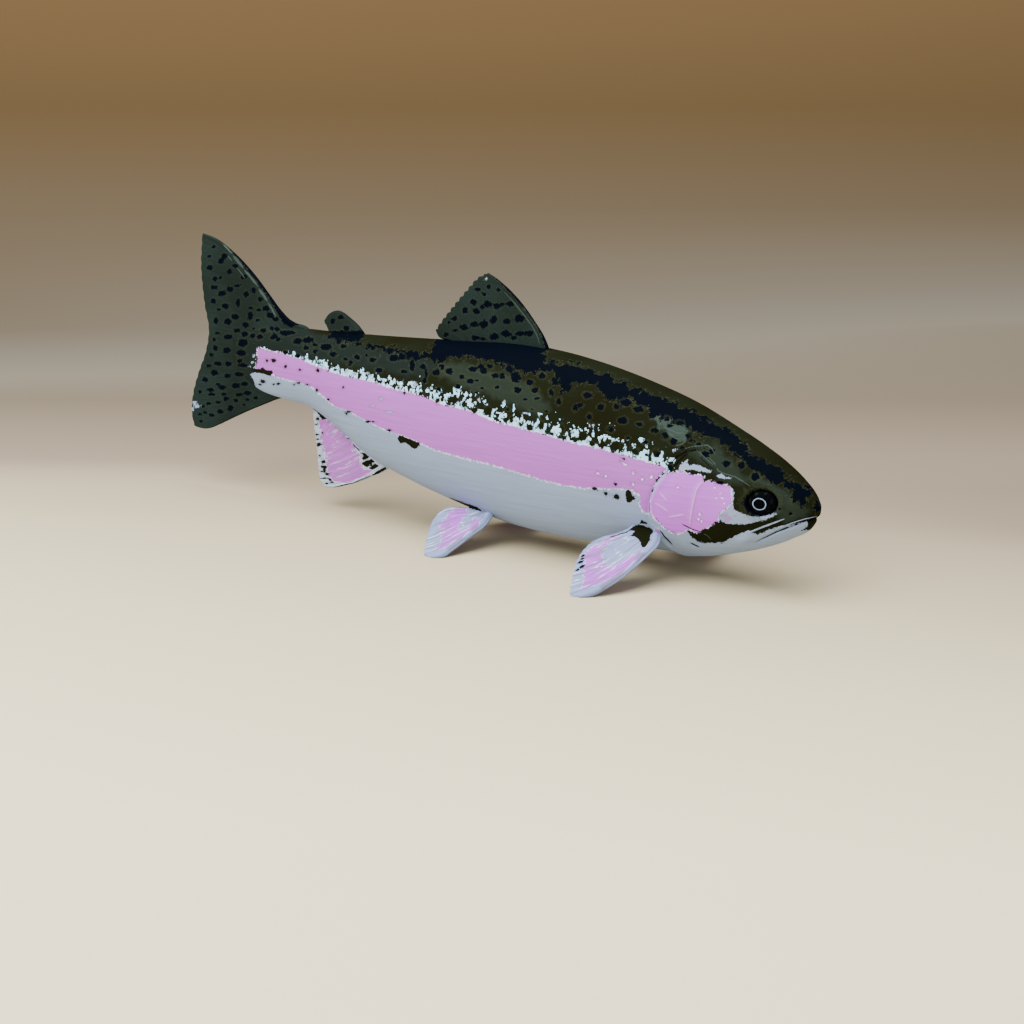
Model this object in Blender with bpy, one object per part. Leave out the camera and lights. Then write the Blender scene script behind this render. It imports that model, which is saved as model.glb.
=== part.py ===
"""Rainbow trout figurine: printed plastic, standing on its pectoral and pelvic fins.

The fish looks along +X, its left side is +Y and the floor is z = 0. The body is
one loft that thin cuts part into head, lower jaw, torso and tail stalk. The fins
are flat plates with their rays raised as ridges.

Run with: blender --background --python part.py
"""

from math import cos, pi, radians, sin

import bmesh
import bpy
import numpy as np
from mathutils import Vector

# Sizes and places are in millimetres and turned into metres as meshes are made
MM = 0.001

# Space kept between neighbouring pieces, and the length below which edges are welded
GAP = 0.3
WELD = 0.0008

# Body profile: (place along the body, size) from the tail wedge to the snout
SNOUT = 80.0
SNOUT_LEVEL = 17.6
WEDGE_END = -66.0
WEDGE_LEVEL = 31.0
BACK_LEVEL = [(-66, 35.4), (-60, 37.2), (-50, 38.1), (-36, 38.4), (-14, 39.3), (0, 40.1), (10, 40.7),
              (20, 40.4), (31, 39.0), (42, 36.7), (53, 33.6), (61, 30.4), (67, 27.8), (72, 25.2),
              (76, 22.4), (78.6, 19.9), (79.8, 18.4)]
BELLY_LEVEL = [(-66, 27.0), (-60, 23.9), (-50, 22.2), (-44, 21.7), (-36, 18.4), (-26, 12.9), (-14, 9.3),
               (0, 6.2), (10, 4.4), (20, 3.7), (31, 3.7), (42, 4.4), (55, 5.1), (62, 6.3), (69, 8.5),
               (75, 11.3), (78.4, 13.7), (79.8, 16.0)]
HALF_WIDTH = [(-66, 0.4), (-60, 1.1), (-50, 2.9), (-36, 5.0), (-26, 6.5), (-14, 8.1), (0, 9.3),
              (10, 9.9), (20, 10.1), (31, 10.1), (42, 9.7), (49, 9.2), (55, 8.4), (62, 7.2),
              (69, 5.7), (75, 4.0), (78.4, 2.4), (79.8, 0.8)]
WIDEST_LEVEL = [(-66, 31.0), (-60, 30.5), (-50, 30.0), (-36, 28.2), (-26, 25.8), (-14, 23.6), (0, 22.3),
                (20, 21.6), (42, 20.4), (55, 19.0), (67, 17.6), (75, 17.0), (79.8, 17.5)]
SECTION_POWER = 0.95
AROUND = 32
STATION_STEPS = [(WEDGE_END, -20.0, 12), (-20.0, 40.0, 12), (40.0, 66.0, 13), (66.0, 76.0, 8), (76.0, 79.8, 6)]

# Parting lines in side view, (x, z), from the back down to the belly
TAIL_CUT = -19.5
GILL_EDGE = [(61.0, 44.0), (58.6, 31.6), (55.6, 26.4), (52.6, 22.4), (50.0, 18.2), (48.7, 14.8), (48.5, 11.8),
             (49.2, 9.2), (50.6, 6.7), (53.0, 4.6), (56.0, -2.0)]
FIN_ROOT_EDGE = [(-43.5, 44.0), (-47.5, 38.0), (-51.0, 36.3), (-55.5, 34.0), (-57.8, 31.0), (-58.0, 28.5),
                 (-56.5, 25.0), (-53.5, 22.5), (-50.5, 16.0)]
MOUTH_LINE = [(84.0, 17.6), (79.2, 15.9), (77.9, 15.4), (75.4, 14.2), (73.4, 12.9), (70.6, 11.3), (67.8, 9.8),
              (65.2, 9.0), (61.8, 7.6), (57.5, 1.0)]

# Gill cover: the front edge of the plate, from the top down, and how it lies on the head
GILL_TOP = 24.0
GILL_BOTTOM = 7.2
COVER_FRONT = [(57.2, 24.4), (59.9, 22.8), (59.0, 19.3), (58.0, 15.5), (57.2, 12.3), (56.6, 9.2), (54.2, 6.9)]
COVER_RISE_REAR = 0.55
COVER_RISE_FRONT = 0.15
COVER_DEPTH = 1.0
COVER_ROOM = 3.0
COVER_SPAN = (42.0, 68.0)
PAST_REAR = 2.0

# Ridges on the head, (x, z) along each one, and their half width and height above the skin
PREOPERCLE = [(59.3, 21.9), (58.2, 19.0), (57.1, 15.3), (56.4, 12.3), (55.9, 9.6)]
PREOPERCLE_SIZE = (0.45, 0.55)
UPPER_JAW = [(77.4, 16.9), (74.8, 15.9), (71.5, 14.3), (68.4, 12.6), (65.4, 11.0)]
UPPER_JAW_SIZE = (1.05, 0.4)
BROW = [(59.5, 27.3), (61.6, 24.6), (64.2, 22.9), (67.6, 21.6), (70.6, 21.6)]
BROW_SIZE = (0.5, 0.22)
RIDGE_SINK = 0.7

# Eye: its place in side view, the button's radii, and the ring round it
EYE_AT = (70.9, 18.2)
EYE_RADIUS_X = 2.65
EYE_RADIUS_Z = 2.2
EYE_DEPTH = 1.5
EYE_DOME = [(1.0, -0.45), (0.9, -0.12), (0.66, 0.16), (0.34, 0.3)]
EYE_CROWN = 0.36
SOCKET_REACH = 3.0
EYE_AROUND = 28
EYE_RIM = 0.42
RIM_PROFILE = [(-0.7, -0.6), (0.8, -0.6), (0.8, 0.0), (0.0, 0.22), (-0.7, 0.16)]
NOSTRIL_AT = (76.0, 19.6)
NOSTRIL_RADIUS = 0.55

# Fins: half thickness of a ray at the root and at the margin, and of the skin between
RAY_ROOT = 0.62
RAY_TIP = 0.38
BETWEEN_RAYS = 0.62
SCALLOP = 0.22

# Median fins in side view, (x, z): leading edge root to tip, margin, and trailing edge root to end
DORSAL_BASE = (19.4, -3.0)
DORSAL_LEAD = [(17.8, 42.7), (15.7, 45.3), (12.5, 48.7), (9.4, 51.2), (6.3, 53.1)]
DORSAL_MARGIN = [(4.1, 54.1), (2.0, 53.2), (-1.4, 50.1), (-4.7, 46.7), (-7.0, 44.2), (-9.2, 41.6)]
DORSAL_TRAIL = [(-6.6, 40.35)]
ADIPOSE_BASE = (-27.8, -37.6)
ADIPOSE_LEAD = [(-30.0, 40.2), (-32.4, 41.7)]
ADIPOSE_MARGIN = [(-34.3, 42.7), (-35.9, 42.9), (-37.9, 42.2), (-39.3, 40.6)]
ADIPOSE_TRAIL = [(-38.7, 39.5)]
ADIPOSE_HALF = 0.85
ANAL_BASE = (-21.0, -43.4)
ANAL_LEAD = [(-23.4, 10.3), (-26.7, 8.8), (-29.7, 7.3), (-33.2, 6.0), (-37.5, 4.7)]
ANAL_MARGIN = [(-40.1, 4.4), (-41.5, 5.6), (-42.0, 8.3), (-42.2, 11.5), (-42.7, 15.3), (-42.9, 19.4)]
ANAL_TRAIL = []
CAUDAL_BASE = [(-46.6, 38.3), (-51.0, 35.0), (-54.0, 30.0), (-53.0, 25.5), (-51.4, 22.8)]
CAUDAL_LEAD = [(-49.5, 40.2), (-53.8, 44.1), (-59.0, 48.8), (-64.7, 52.8), (-71.0, 56.0)]
CAUDAL_MARGIN = [(-74.6, 56.4), (-75.3, 49.0), (-74.6, 40.8), (-73.6, 35.0), (-74.7, 30.4), (-77.2, 25.3),
                 (-79.3, 19.8), (-79.8, 15.8), (-79.2, 13.0)]
CAUDAL_TRAIL = [(-54.2, 21.8), (-57.4, 20.4), (-61.9, 18.5), (-65.9, 16.7), (-71.0, 14.4), (-76.2, 12.8)]

# Paired fins in their own plane: u runs back along the root, v out to the tip
PECTORAL_ORIGIN = (49.5, 6.7, 9.75)
PECTORAL_TIP = (43.4, 24.3, 0.0)
PECTORAL_REAR = (44.4, 7.4, 10.05)
PECTORAL_BASE = [(-0.6, -2.6), (5.4, -2.2)]
PECTORAL_LEAD = [(-0.8, 0.2), (-1.5, 2.9), (-0.6, 6.6), (0.7, 10.8), (2.6, 14.6), (4.6, 17.5)]
PECTORAL_MARGIN = [(7.0, 19.4), (9.2, 19.6), (10.1, 17.7), (11.1, 14.6), (11.9, 11.5), (12.0, 8.6), (11.3, 6.0)]
PECTORAL_TRAIL = [(5.6, 0.6), (7.5, 2.5), (9.5, 4.1)]
PELVIC_ORIGIN = (6.3, 4.5, 6.9)
PELVIC_TIP = (4.1, 19.0, -0.05)
PELVIC_REAR = (-2.6, 3.5, 8.0)
PELVIC_BASE = [(-1.0, -2.6), (9.8, -2.6)]
PELVIC_LEAD = [(-1.5, 0.5), (-3.0, 3.6), (-3.1, 7.1), (-3.0, 10.8), (-2.5, 14.6)]
PELVIC_MARGIN = [(-1.0, 16.0), (1.2, 16.1), (3.2, 14.0), (6.1, 9.9), (7.9, 6.6)]
PELVIC_TRAIL = [(9.8, -0.4), (8.3, 2.5)]

# Length of body that the paired fins grow from
PAIRED_SPAN = (-20.0, 66.0)

# Plastics: colour and roughness
OLIVE = (0.075, 0.078, 0.030)
NAVY = (0.012, 0.018, 0.030)
WHITE = (0.66, 0.69, 0.71)
PINK = (0.80, 0.44, 0.58)
PLASTIC_ROUGHNESS = 0.5


def smooth_curve(points):
    """Return a smooth function through (place, value) pairs."""
    ordered = sorted(points)
    places = np.array([point[0] for point in ordered], float)
    values = np.array([point[1] for point in ordered], float)
    steps = np.diff(places)
    slopes = np.diff(values) / steps
    tangents = np.empty_like(values)
    tangents[1:-1] = (slopes[:-1] * steps[1:] + slopes[1:] * steps[:-1]) / (steps[1:] + steps[:-1])
    tangents[0] = slopes[0]
    tangents[-1] = slopes[-1]

    def value_at(place):
        i = int(np.clip(np.searchsorted(places, place) - 1, 0, len(steps) - 1))
        s = (place - places[i]) / steps[i]
        start = (1 + 2 * s) * (1 - s) ** 2 * values[i] + s * (1 - s) ** 2 * steps[i] * tangents[i]
        end = s * s * (3 - 2 * s) * values[i + 1] + s * s * (s - 1) * steps[i] * tangents[i + 1]
        return float(start + end)

    return value_at


def smooth_path(points):
    """Return a function from 0..1 to a point on a smooth line through the points."""
    rows = np.array(points, float)
    if len(rows) == 2:
        return lambda s: rows[0] + (rows[1] - rows[0]) * s
    lengths = np.linalg.norm(np.diff(rows, axis=0), axis=1)
    knots = np.concatenate([[0.0], np.cumsum(lengths)]) / lengths.sum()
    parts = [smooth_curve(list(zip(knots, rows[:, k]))) for k in range(rows.shape[1])]
    return lambda s: np.array([part(s) for part in parts])


back_level = smooth_curve(BACK_LEVEL)
belly_level = smooth_curve(BELLY_LEVEL)
half_width = smooth_curve(HALF_WIDTH)
widest_level = smooth_curve(WIDEST_LEVEL)


def skin_ring(x, grow=0.0):
    """Points round the body at x, starting on the left side and going up."""
    middle = widest_level(x)
    up = back_level(x) + grow - middle
    down = middle - belly_level(x) + grow
    width = half_width(x) + grow
    ring = []
    for k in range(AROUND):
        angle = 2 * pi * k / AROUND
        across = np.sign(round(cos(angle), 9)) * abs(cos(angle)) ** SECTION_POWER
        rise = sin(angle) * (up if angle < pi else down)
        ring.append((x, width * across, middle + rise))
    return ring


def skin_side(x, z, grow=0.0):
    """Distance of the skin from the midplane at x and level z."""
    middle = widest_level(x)
    reach = back_level(x) - middle if z > middle else middle - belly_level(x)
    share = min(1.0, abs(z - middle) / (reach + grow))
    return (half_width(x) + grow) * (1 - share * share) ** (SECTION_POWER / 2)


def skin_frame(x, z, side):
    """Point on the skin and its outward direction, on the left (1) or right (-1)."""
    step = 0.05
    y = skin_side(x, z)
    slope_x = (skin_side(x + step, z) - skin_side(x - step, z)) / (2 * step)
    slope_z = (skin_side(x, z + step) - skin_side(x, z - step)) / (2 * step)
    return Vector((x, side * y, z)), Vector((-slope_x, side, -slope_z)).normalized()


def offset_line(points, distance):
    """Move a side-view line sideways, to its left as it runs from first to last."""
    rows = np.array(points, float)
    along = np.gradient(rows, axis=0)
    along /= np.linalg.norm(along, axis=1)[:, None]
    return rows + np.stack([-along[:, 1], along[:, 0]], axis=1) * distance


def finer(points, count):
    """A smooth line through the points, read at an even spacing."""
    path = smooth_path(points)
    return np.array([path(k / (count - 1)) for k in range(count)])


def solid(name, points, faces):
    """Make a closed mesh object from points in millimetres, with its faces pointing out."""
    mesh = bpy.data.meshes.new(name)
    mesh.from_pydata([tuple(MM * float(value) for value in point) for point in points], [], faces)
    made = bpy.data.objects.new(name, mesh)
    bpy.context.collection.objects.link(made)
    shape = bmesh.new()
    shape.from_mesh(mesh)
    bmesh.ops.recalc_face_normals(shape, faces=shape.faces)
    if shape.calc_volume(signed=True) < 0:
        bmesh.ops.reverse_faces(shape, faces=shape.faces)
    shape.to_mesh(mesh)
    shape.free()
    return made


def stack(name, rings, start=None, end=None):
    """Loft a closed solid through rings of equal length; an end is a point or a flat face."""
    count = len(rings[0])
    points = [point for ring in rings for point in ring]
    faces = []
    for i in range(len(rings) - 1):
        for k in range(count):
            after = (k + 1) % count
            faces.append((i * count + k, i * count + after, (i + 1) * count + after, (i + 1) * count + k))
    for first, tip in ((0, start), ((len(rings) - 1) * count, end)):
        if tip is None:
            faces.append(tuple(range(first, first + count)))
        else:
            points.append(tip)
            for k in range(count):
                faces.append((first + k, first + (k + 1) % count, len(points) - 1))
    return solid(name, points, faces)


def stations():
    """Places of the rings along the body, closest together at the snout."""
    places = [WEDGE_END]
    for start, end, count in STATION_STEPS:
        places += [start + (end - start) * k / count for k in range(1, count + 1)]
    return places


def body_loft(name):
    """The whole body from the tail wedge to the snout."""
    rings = [skin_ring(x) for x in stations()]
    return stack(name, rings, (WEDGE_END, 0.0, WEDGE_LEVEL), (SNOUT, 0.0, SNOUT_LEVEL))


def body_length(name, x_from, x_to, grow_at):
    """A length of the body with flat ends, swollen by grow_at(x); below zero it is slimmer."""
    rings = [skin_ring(x, grow_at(x)) for x in stations() if x_from <= x <= x_to]
    return stack(name, rings)


def side_prism(name, outline, y_from=-30.0, y_to=30.0):
    """A side-view outline drawn out across the fish."""
    rings = [[(x, y, z) for x, z in outline] for y in (y_from, y_to)]
    return stack(name, rings)


def remove(thing):
    """Take an object and its mesh away."""
    mesh = thing.data
    bpy.data.objects.remove(thing, do_unlink=True)
    bpy.data.meshes.remove(mesh)


def boolean(body, operation, tool, keep_tool=False):
    """Apply one Boolean with a closed tool and keep the largest closed surface."""
    modifier = body.modifiers.new("cut", "BOOLEAN")
    modifier.operation = operation
    modifier.solver = "EXACT"
    modifier.object = tool
    graph = bpy.context.evaluated_depsgraph_get()
    graph.update()
    result = bpy.data.meshes.new_from_object(body.evaluated_get(graph))
    old = body.data
    body.modifiers.clear()
    body.data = result
    bpy.data.meshes.remove(old)
    if not keep_tool:
        remove(tool)
    keep_largest(body)
    return body


def keep_largest(body):
    """Drop every loose piece of a mesh but the one with the largest volume."""
    shape = bmesh.new()
    shape.from_mesh(body.data)
    bmesh.ops.remove_doubles(shape, verts=shape.verts, dist=WELD * MM)
    bmesh.ops.dissolve_degenerate(shape, edges=shape.edges, dist=WELD * MM)
    bmesh.ops.triangulate(shape, faces=shape.faces)
    left = set(shape.faces)
    pieces = []
    while left:
        grown = [left.pop()]
        piece = []
        while grown:
            face = grown.pop()
            piece.append(face)
            for edge in face.edges:
                for other in edge.link_faces:
                    if other in left:
                        left.remove(other)
                        grown.append(other)
        pieces.append(piece)
    pieces.sort(key=lambda piece: abs(sum(
        face.calc_center_median().dot(face.normal) * face.calc_area() for face in piece)))
    for piece in pieces[:-1]:
        bmesh.ops.delete(shape, geom=piece, context="FACES")
    loose = [vert for vert in shape.verts if not vert.link_faces]
    bmesh.ops.delete(shape, geom=loose, context="VERTS")
    shape.to_mesh(body.data)
    shape.free()


def copy_of(thing, name):
    """A copy of an object with a mesh of its own."""
    twin = bpy.data.objects.new(name, thing.data.copy())
    bpy.context.collection.objects.link(twin)
    return twin


def ridge(name, path, side, size, count=12):
    """A tapered, round-backed ridge that follows the skin along a side-view path."""
    width, rise = size
    line = finer(path, count)
    rings = []
    for i, (x, z) in enumerate(line):
        point, outward = skin_frame(x, z, side)
        before, _ = skin_frame(*line[max(i - 1, 0)], side)
        after, _ = skin_frame(*line[min(i + 1, count - 1)], side)
        across = (after - before).normalized().cross(outward).normalized()
        taper = max(0.12, sin(pi * (i + 0.5) / count)) ** 0.6
        profile = [(-1.0, -RIDGE_SINK), (1.0, -RIDGE_SINK), (1.0, 0.0), (0.55, rise * taper),
                   (-0.55, rise * taper), (-1.0, 0.0)]
        rings.append([tuple(point + across * (width * taper * u) + outward * v) for u, v in profile])
    return stack(name, rings)


def coons(base, margin, lead, trail):
    """Return P(s, t) over a fin: s from root to margin, t from the leading to the trailing ray."""
    def position(s, t):
        straight = base(t) + (margin(t) - base(t)) * s
        bend_lead = lead(s) - (lead(0) + (lead(1) - lead(0)) * s)
        bend_trail = trail(s) - (trail(0) + (trail(1) - trail(0)) * s)
        return straight + bend_lead * (1 - t) + bend_trail * t

    return position


def fin(name, base, lead, margin, trail, rays, rows, place, root=RAY_ROOT, tip=RAY_TIP, valley=BETWEEN_RAYS,
        scallop=SCALLOP):
    """A fin plate whose rays are ridges raised in both of its faces.

    base, lead, margin and trail are lists of points in the fin's plane, and place
    turns such a point and a height above the plane into a point in space.
    """
    lead_points = [base[0]] + lead + [margin[0]]
    trail_points = [base[-1]] + trail + [margin[-1]]
    position = coons(smooth_path(base), smooth_path(margin), smooth_path(lead_points), smooth_path(trail_points))
    columns = 2 * rays
    front = []
    back = []
    for i in range(rows + 1):
        s = i / rows
        for k in range(columns + 1):
            t = k / columns
            on_ray = k % 2 == 0
            spot = position(s, t)
            if i == rows and 0 < k < columns:
                outward = spot - position(s - 0.05, t)
                spot = spot + outward / np.linalg.norm(outward) * (scallop if on_ray else -scallop)
            half = (root + (tip - root) * s) * (1.0 if on_ray else valley)
            front.append(place(spot, half))
            back.append(place(spot, -half))
    size = len(front)
    width = columns + 1
    faces = []
    for i in range(rows):
        for k in range(columns):
            a = i * width + k
            b = a + width
            for corner in ((a, b, b + 1), (a, b + 1, a + 1)):
                faces.append(corner)
                faces.append(tuple(size + index for index in reversed(corner)))
    rim = [k for k in range(width)]
    rim += [i * width + columns for i in range(1, rows + 1)]
    rim += [rows * width + k for k in range(columns - 1, -1, -1)]
    rim += [i * width for i in range(rows - 1, 0, -1)]
    for i, a in enumerate(rim):
        b = rim[(i + 1) % len(rim)]
        faces.append((a, b, size + b))
        faces.append((a, size + b, size + a))
    return solid(name, front + back, faces)


def upright(point, height):
    """Place a point of a median fin, which stands in the midplane."""
    return (point[0], height, point[1])


def paired_plane(origin, rear, tip, side):
    """Return a place function for a paired fin's plane, mirrored for the right side."""
    start = np.array(origin)
    along = np.array(rear) - start
    along /= np.linalg.norm(along)
    normal = np.cross(along, np.array(tip) - start)
    normal /= np.linalg.norm(normal)
    out = np.cross(normal, along)
    out *= np.sign(out @ (np.array(tip) - start))

    def place(point, height):
        spot = start + along * point[0] + out * point[1] + normal * height
        return (spot[0], side * spot[1], spot[2])

    return place


def base_on(level, span, sign, count=9):
    """The root line of a median fin, one gap off the back or the belly."""
    return [(x, level(x) + sign * GAP) for x in np.linspace(span[0], span[1], count)]


def finish(thing, colour, roughness=PLASTIC_ROUGHNESS):
    """Give a node its own plastic and smooth shading."""
    material = bpy.data.materials.new(thing.name + "_plastic")
    material.use_nodes = True
    shader = material.node_tree.nodes["Principled BSDF"]
    shader.inputs["Base Color"].default_value = (*colour, 1.0)
    shader.inputs["Roughness"].default_value = roughness
    shader.inputs["Metallic"].default_value = 0.0
    thing.data.materials.clear()
    thing.data.materials.append(material)
    thing.data.shade_smooth()
    thing.data.set_sharp_from_angle(angle=radians(35))


def cover_outline(grow, behind):
    """Side-view outline of the gill cover, grown all round its front and by another amount behind."""
    rear = [point for point in finer(GILL_EDGE, 40) if GILL_BOTTOM < point[1] < GILL_TOP]
    rear = offset_line(rear, -behind)
    front = offset_line(finer(COVER_FRONT, 14), grow)
    return [tuple(point) for point in front] + [tuple(point) for point in reversed(rear)]


def cover_shell(name, side, grow=0.0, behind=0.0):
    """The curved plate over the gills; grown, it is the cutter that makes room for the plate."""
    def rise(x):
        share = min(1.0, max(0.0, (x - 50.0) / 9.0))
        return COVER_RISE_REAR + (COVER_RISE_FRONT - COVER_RISE_REAR) * share + (COVER_ROOM if grow else 0.0)

    shell = body_length(name, *COVER_SPAN, rise)
    y_near, y_far = (1.5, 30.0) if side > 0 else (-30.0, -1.5)
    boolean(shell, "INTERSECT", side_prism(name + "_outline", cover_outline(grow, behind), y_near, y_far))
    inner = body_length(name + "_inner", *COVER_SPAN, lambda x: -COVER_DEPTH - grow)
    return boolean(shell, "DIFFERENCE", inner)


def eye_button(name, side, grow):
    """The eye as a shallow domed button sunk into the head; grown, it is the socket's cutter."""
    point, outward = skin_frame(*EYE_AT, side)
    ahead = (Vector((1, 0, 0)) - outward * outward.x).normalized()
    above = Vector((0, 0, 1)) - outward * outward.z
    above = (above - ahead * above.dot(ahead)).normalized()
    profile = [(1.0, -EYE_DEPTH)] + EYE_DOME
    crown = EYE_CROWN
    if grow:
        profile = [(1.0, -EYE_DEPTH - grow), (1.12, SOCKET_REACH)]
        crown = SOCKET_REACH
    count = EYE_AROUND
    rings = []
    for share, height in profile:
        ring = []
        for k in range(count):
            angle = 2 * pi * k / count
            u = (EYE_RADIUS_X * share + grow) * cos(angle)
            v = (EYE_RADIUS_Z * share + grow) * sin(angle)
            ring.append(tuple(point + ahead * u + above * v + outward * height))
        rings.append(ring)
    return stack(name, rings, None, tuple(point + outward * crown))


def eye_ring(name, side):
    """The raised rim round the socket, laid on the skin."""
    count = EYE_AROUND
    rings = []
    for k in range(count + 1):
        angle = 2 * pi * k / count
        x = EYE_AT[0] + (EYE_RADIUS_X + GAP + EYE_RIM) * cos(angle)
        z = EYE_AT[1] + (EYE_RADIUS_Z + GAP + EYE_RIM) * sin(angle)
        point, outward = skin_frame(x, z, side)
        across = Vector((cos(angle), 0, sin(angle)))
        across = (across - outward * across.dot(outward)).normalized()
        rings.append([tuple(point + across * u + outward * v) for u, v in RIM_PROFILE])
    points = [point for ring in rings[:-1] for point in ring]
    size = len(rings[0])
    faces = []
    for i in range(count):
        for k in range(size):
            a = i * size + k
            b = i * size + (k + 1) % size
            c = ((i + 1) % count) * size + (k + 1) % size
            d = ((i + 1) % count) * size + k
            faces.append((a, b, c, d))
    return solid(name, points, faces)


def ball(name, centre, radii, count=12):
    """A small ellipsoid used as a cutter."""
    rings = []
    for i in range(1, count // 2):
        polar = pi * i / (count // 2)
        rings.append([(centre[0] + radii[0] * sin(polar) * cos(2 * pi * k / count),
                       centre[1] + radii[1] * sin(polar) * sin(2 * pi * k / count),
                       centre[2] + radii[2] * cos(polar)) for k in range(count)])
    start = (centre[0], centre[1], centre[2] + radii[2])
    end = (centre[0], centre[1], centre[2] - radii[2])
    return stack(name, rings, start, end)


def region(line, far_points):
    """Close a parting line into a side-view region through far corner points."""
    return [tuple(point) for point in line] + list(far_points)


def make_trunk():
    """Torso, tail stalk and tail fin, parted from one loft."""
    gill_line = finer(GILL_EDGE, 40)
    root_line = finer(FIN_ROOT_EDGE, 30)

    torso = body_loft("torso")
    behind_gill = offset_line(gill_line, -GAP)
    torso_region = region(behind_gill, [(TAIL_CUT, -10.0), (TAIL_CUT, 60.0)])
    boolean(torso, "INTERSECT", side_prism("torso_region", torso_region))
    finish(torso, WHITE)

    stalk = body_loft("tail_stalk")
    stalk_region = region(root_line, [(TAIL_CUT - GAP, -10.0), (TAIL_CUT - GAP, 60.0)])
    boolean(stalk, "INTERSECT", side_prism("stalk_region", stalk_region))
    finish(stalk, OLIVE)

    caudal = fin("caudal_fin", CAUDAL_BASE, CAUDAL_LEAD, CAUDAL_MARGIN, CAUDAL_TRAIL, 18, 10, upright)
    boolean(caudal, "UNION", body_loft("wedge"))
    behind_root = offset_line(root_line, -GAP)
    fin_region = region(behind_root, [(-100.0, -10.0), (-100.0, 80.0)])
    boolean(caudal, "INTERSECT", side_prism("fin_region", fin_region))
    finish(caudal, OLIVE)


def make_head():
    """Head, lower jaw, gill covers and eyes."""
    gill_line = finer(GILL_EDGE, 40)
    mouth_line = finer(MOUTH_LINE, 30)

    head = body_loft("head")
    boolean(head, "INTERSECT", side_prism("head_region", region(gill_line, [(100.0, -10.0), (100.0, 60.0)])))
    jaw = copy_of(head, "lower_jaw")
    jaw_region = region(mouth_line, [(84.0, 1.0)])
    boolean(jaw, "INTERSECT", side_prism("jaw_region", jaw_region))
    finish(jaw, WHITE)

    above_mouth = offset_line(mouth_line, -GAP)
    for side in (1, -1):
        boolean(head, "UNION", ridge("upper_jaw_ridge", UPPER_JAW, side, UPPER_JAW_SIZE))
        boolean(head, "UNION", ridge("brow_ridge", BROW, side, BROW_SIZE))
        boolean(head, "UNION", eye_ring("eye_ring", side))
    boolean(head, "DIFFERENCE", side_prism("jaw_room", region(above_mouth, [(88.0, 0.0), (88.0, 17.0)])))
    for side, word in ((1, "left"), (-1, "right")):
        boolean(head, "DIFFERENCE", eye_button("socket", side, GAP))
        boolean(head, "DIFFERENCE", cover_shell("cover_room", side, GAP, PAST_REAR))
        spot, outward = skin_frame(*NOSTRIL_AT, side)
        boolean(head, "DIFFERENCE", ball("nostril", spot, (NOSTRIL_RADIUS * 1.4, 0.5, NOSTRIL_RADIUS)))

        cover = cover_shell("gill_cover_" + word, side)
        boolean(cover, "UNION", ridge("preopercle", PREOPERCLE, side, PREOPERCLE_SIZE))
        finish(cover, PINK)
        finish(eye_button("eye_" + word, side, 0.0), NAVY, 0.3)
    finish(head, OLIVE)


def make_median_fins():
    """Dorsal, adipose and anal fins, standing one gap off the back and the belly."""
    dorsal = fin("dorsal_fin", base_on(back_level, DORSAL_BASE, 1), DORSAL_LEAD, DORSAL_MARGIN, DORSAL_TRAIL,
                 12, 8, upright)
    finish(dorsal, OLIVE)
    adipose = fin("adipose_fin", base_on(back_level, ADIPOSE_BASE, 1), ADIPOSE_LEAD, ADIPOSE_MARGIN,
                  ADIPOSE_TRAIL, 5, 5, upright, ADIPOSE_HALF, ADIPOSE_HALF * 0.5, 1.0, 0.0)
    finish(adipose, OLIVE)
    anal = fin("anal_fin", base_on(belly_level, ANAL_BASE, -1), ANAL_LEAD, ANAL_MARGIN, ANAL_TRAIL,
               11, 7, upright)
    finish(anal, PINK)


def make_paired_fins():
    """Pectoral and pelvic fins: their roots are cut by the swollen body, their tips by the floor."""
    shapes = {
        "pectoral_fin": (PECTORAL_ORIGIN, PECTORAL_REAR, PECTORAL_TIP, PECTORAL_BASE, PECTORAL_LEAD,
                         PECTORAL_MARGIN, PECTORAL_TRAIL, 12),
        "pelvic_fin": (PELVIC_ORIGIN, PELVIC_REAR, PELVIC_TIP, PELVIC_BASE, PELVIC_LEAD,
                       PELVIC_MARGIN, PELVIC_TRAIL, 10),
    }
    for kind, (origin, rear, tip, base, lead, margin, trail, rays) in shapes.items():
        for side, word in ((1, "left"), (-1, "right")):
            place = paired_plane(origin, rear, tip, side)
            made = fin(kind + "_" + word, base, lead, margin, trail, rays, 8, place)
            boolean(made, "DIFFERENCE", body_length("swollen_body", *PAIRED_SPAN, lambda x: GAP))
            if kind == "pectoral_fin":
                boolean(made, "DIFFERENCE", cover_shell("cover_room", side, GAP, GAP))
            floor = side_prism("floor", [(-100.0, 0.0), (100.0, 0.0), (100.0, -20.0), (-100.0, -20.0)], -60.0, 60.0)
            boolean(made, "DIFFERENCE", floor)
            finish(made, WHITE)


def main():
    """Clear the scene and build the fish."""
    for thing in list(bpy.data.objects):
        bpy.data.objects.remove(thing, do_unlink=True)
    make_trunk()
    make_head()
    make_median_fins()
    make_paired_fins()


if __name__ == "__main__":
    main()
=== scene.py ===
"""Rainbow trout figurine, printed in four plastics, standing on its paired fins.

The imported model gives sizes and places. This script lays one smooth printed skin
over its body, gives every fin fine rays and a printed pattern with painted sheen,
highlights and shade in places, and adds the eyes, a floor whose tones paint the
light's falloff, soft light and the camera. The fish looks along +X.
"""

from math import cos, pi, radians, sin

import bmesh
import bpy
import numpy as np
from mathutils import Matrix, Vector


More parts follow.
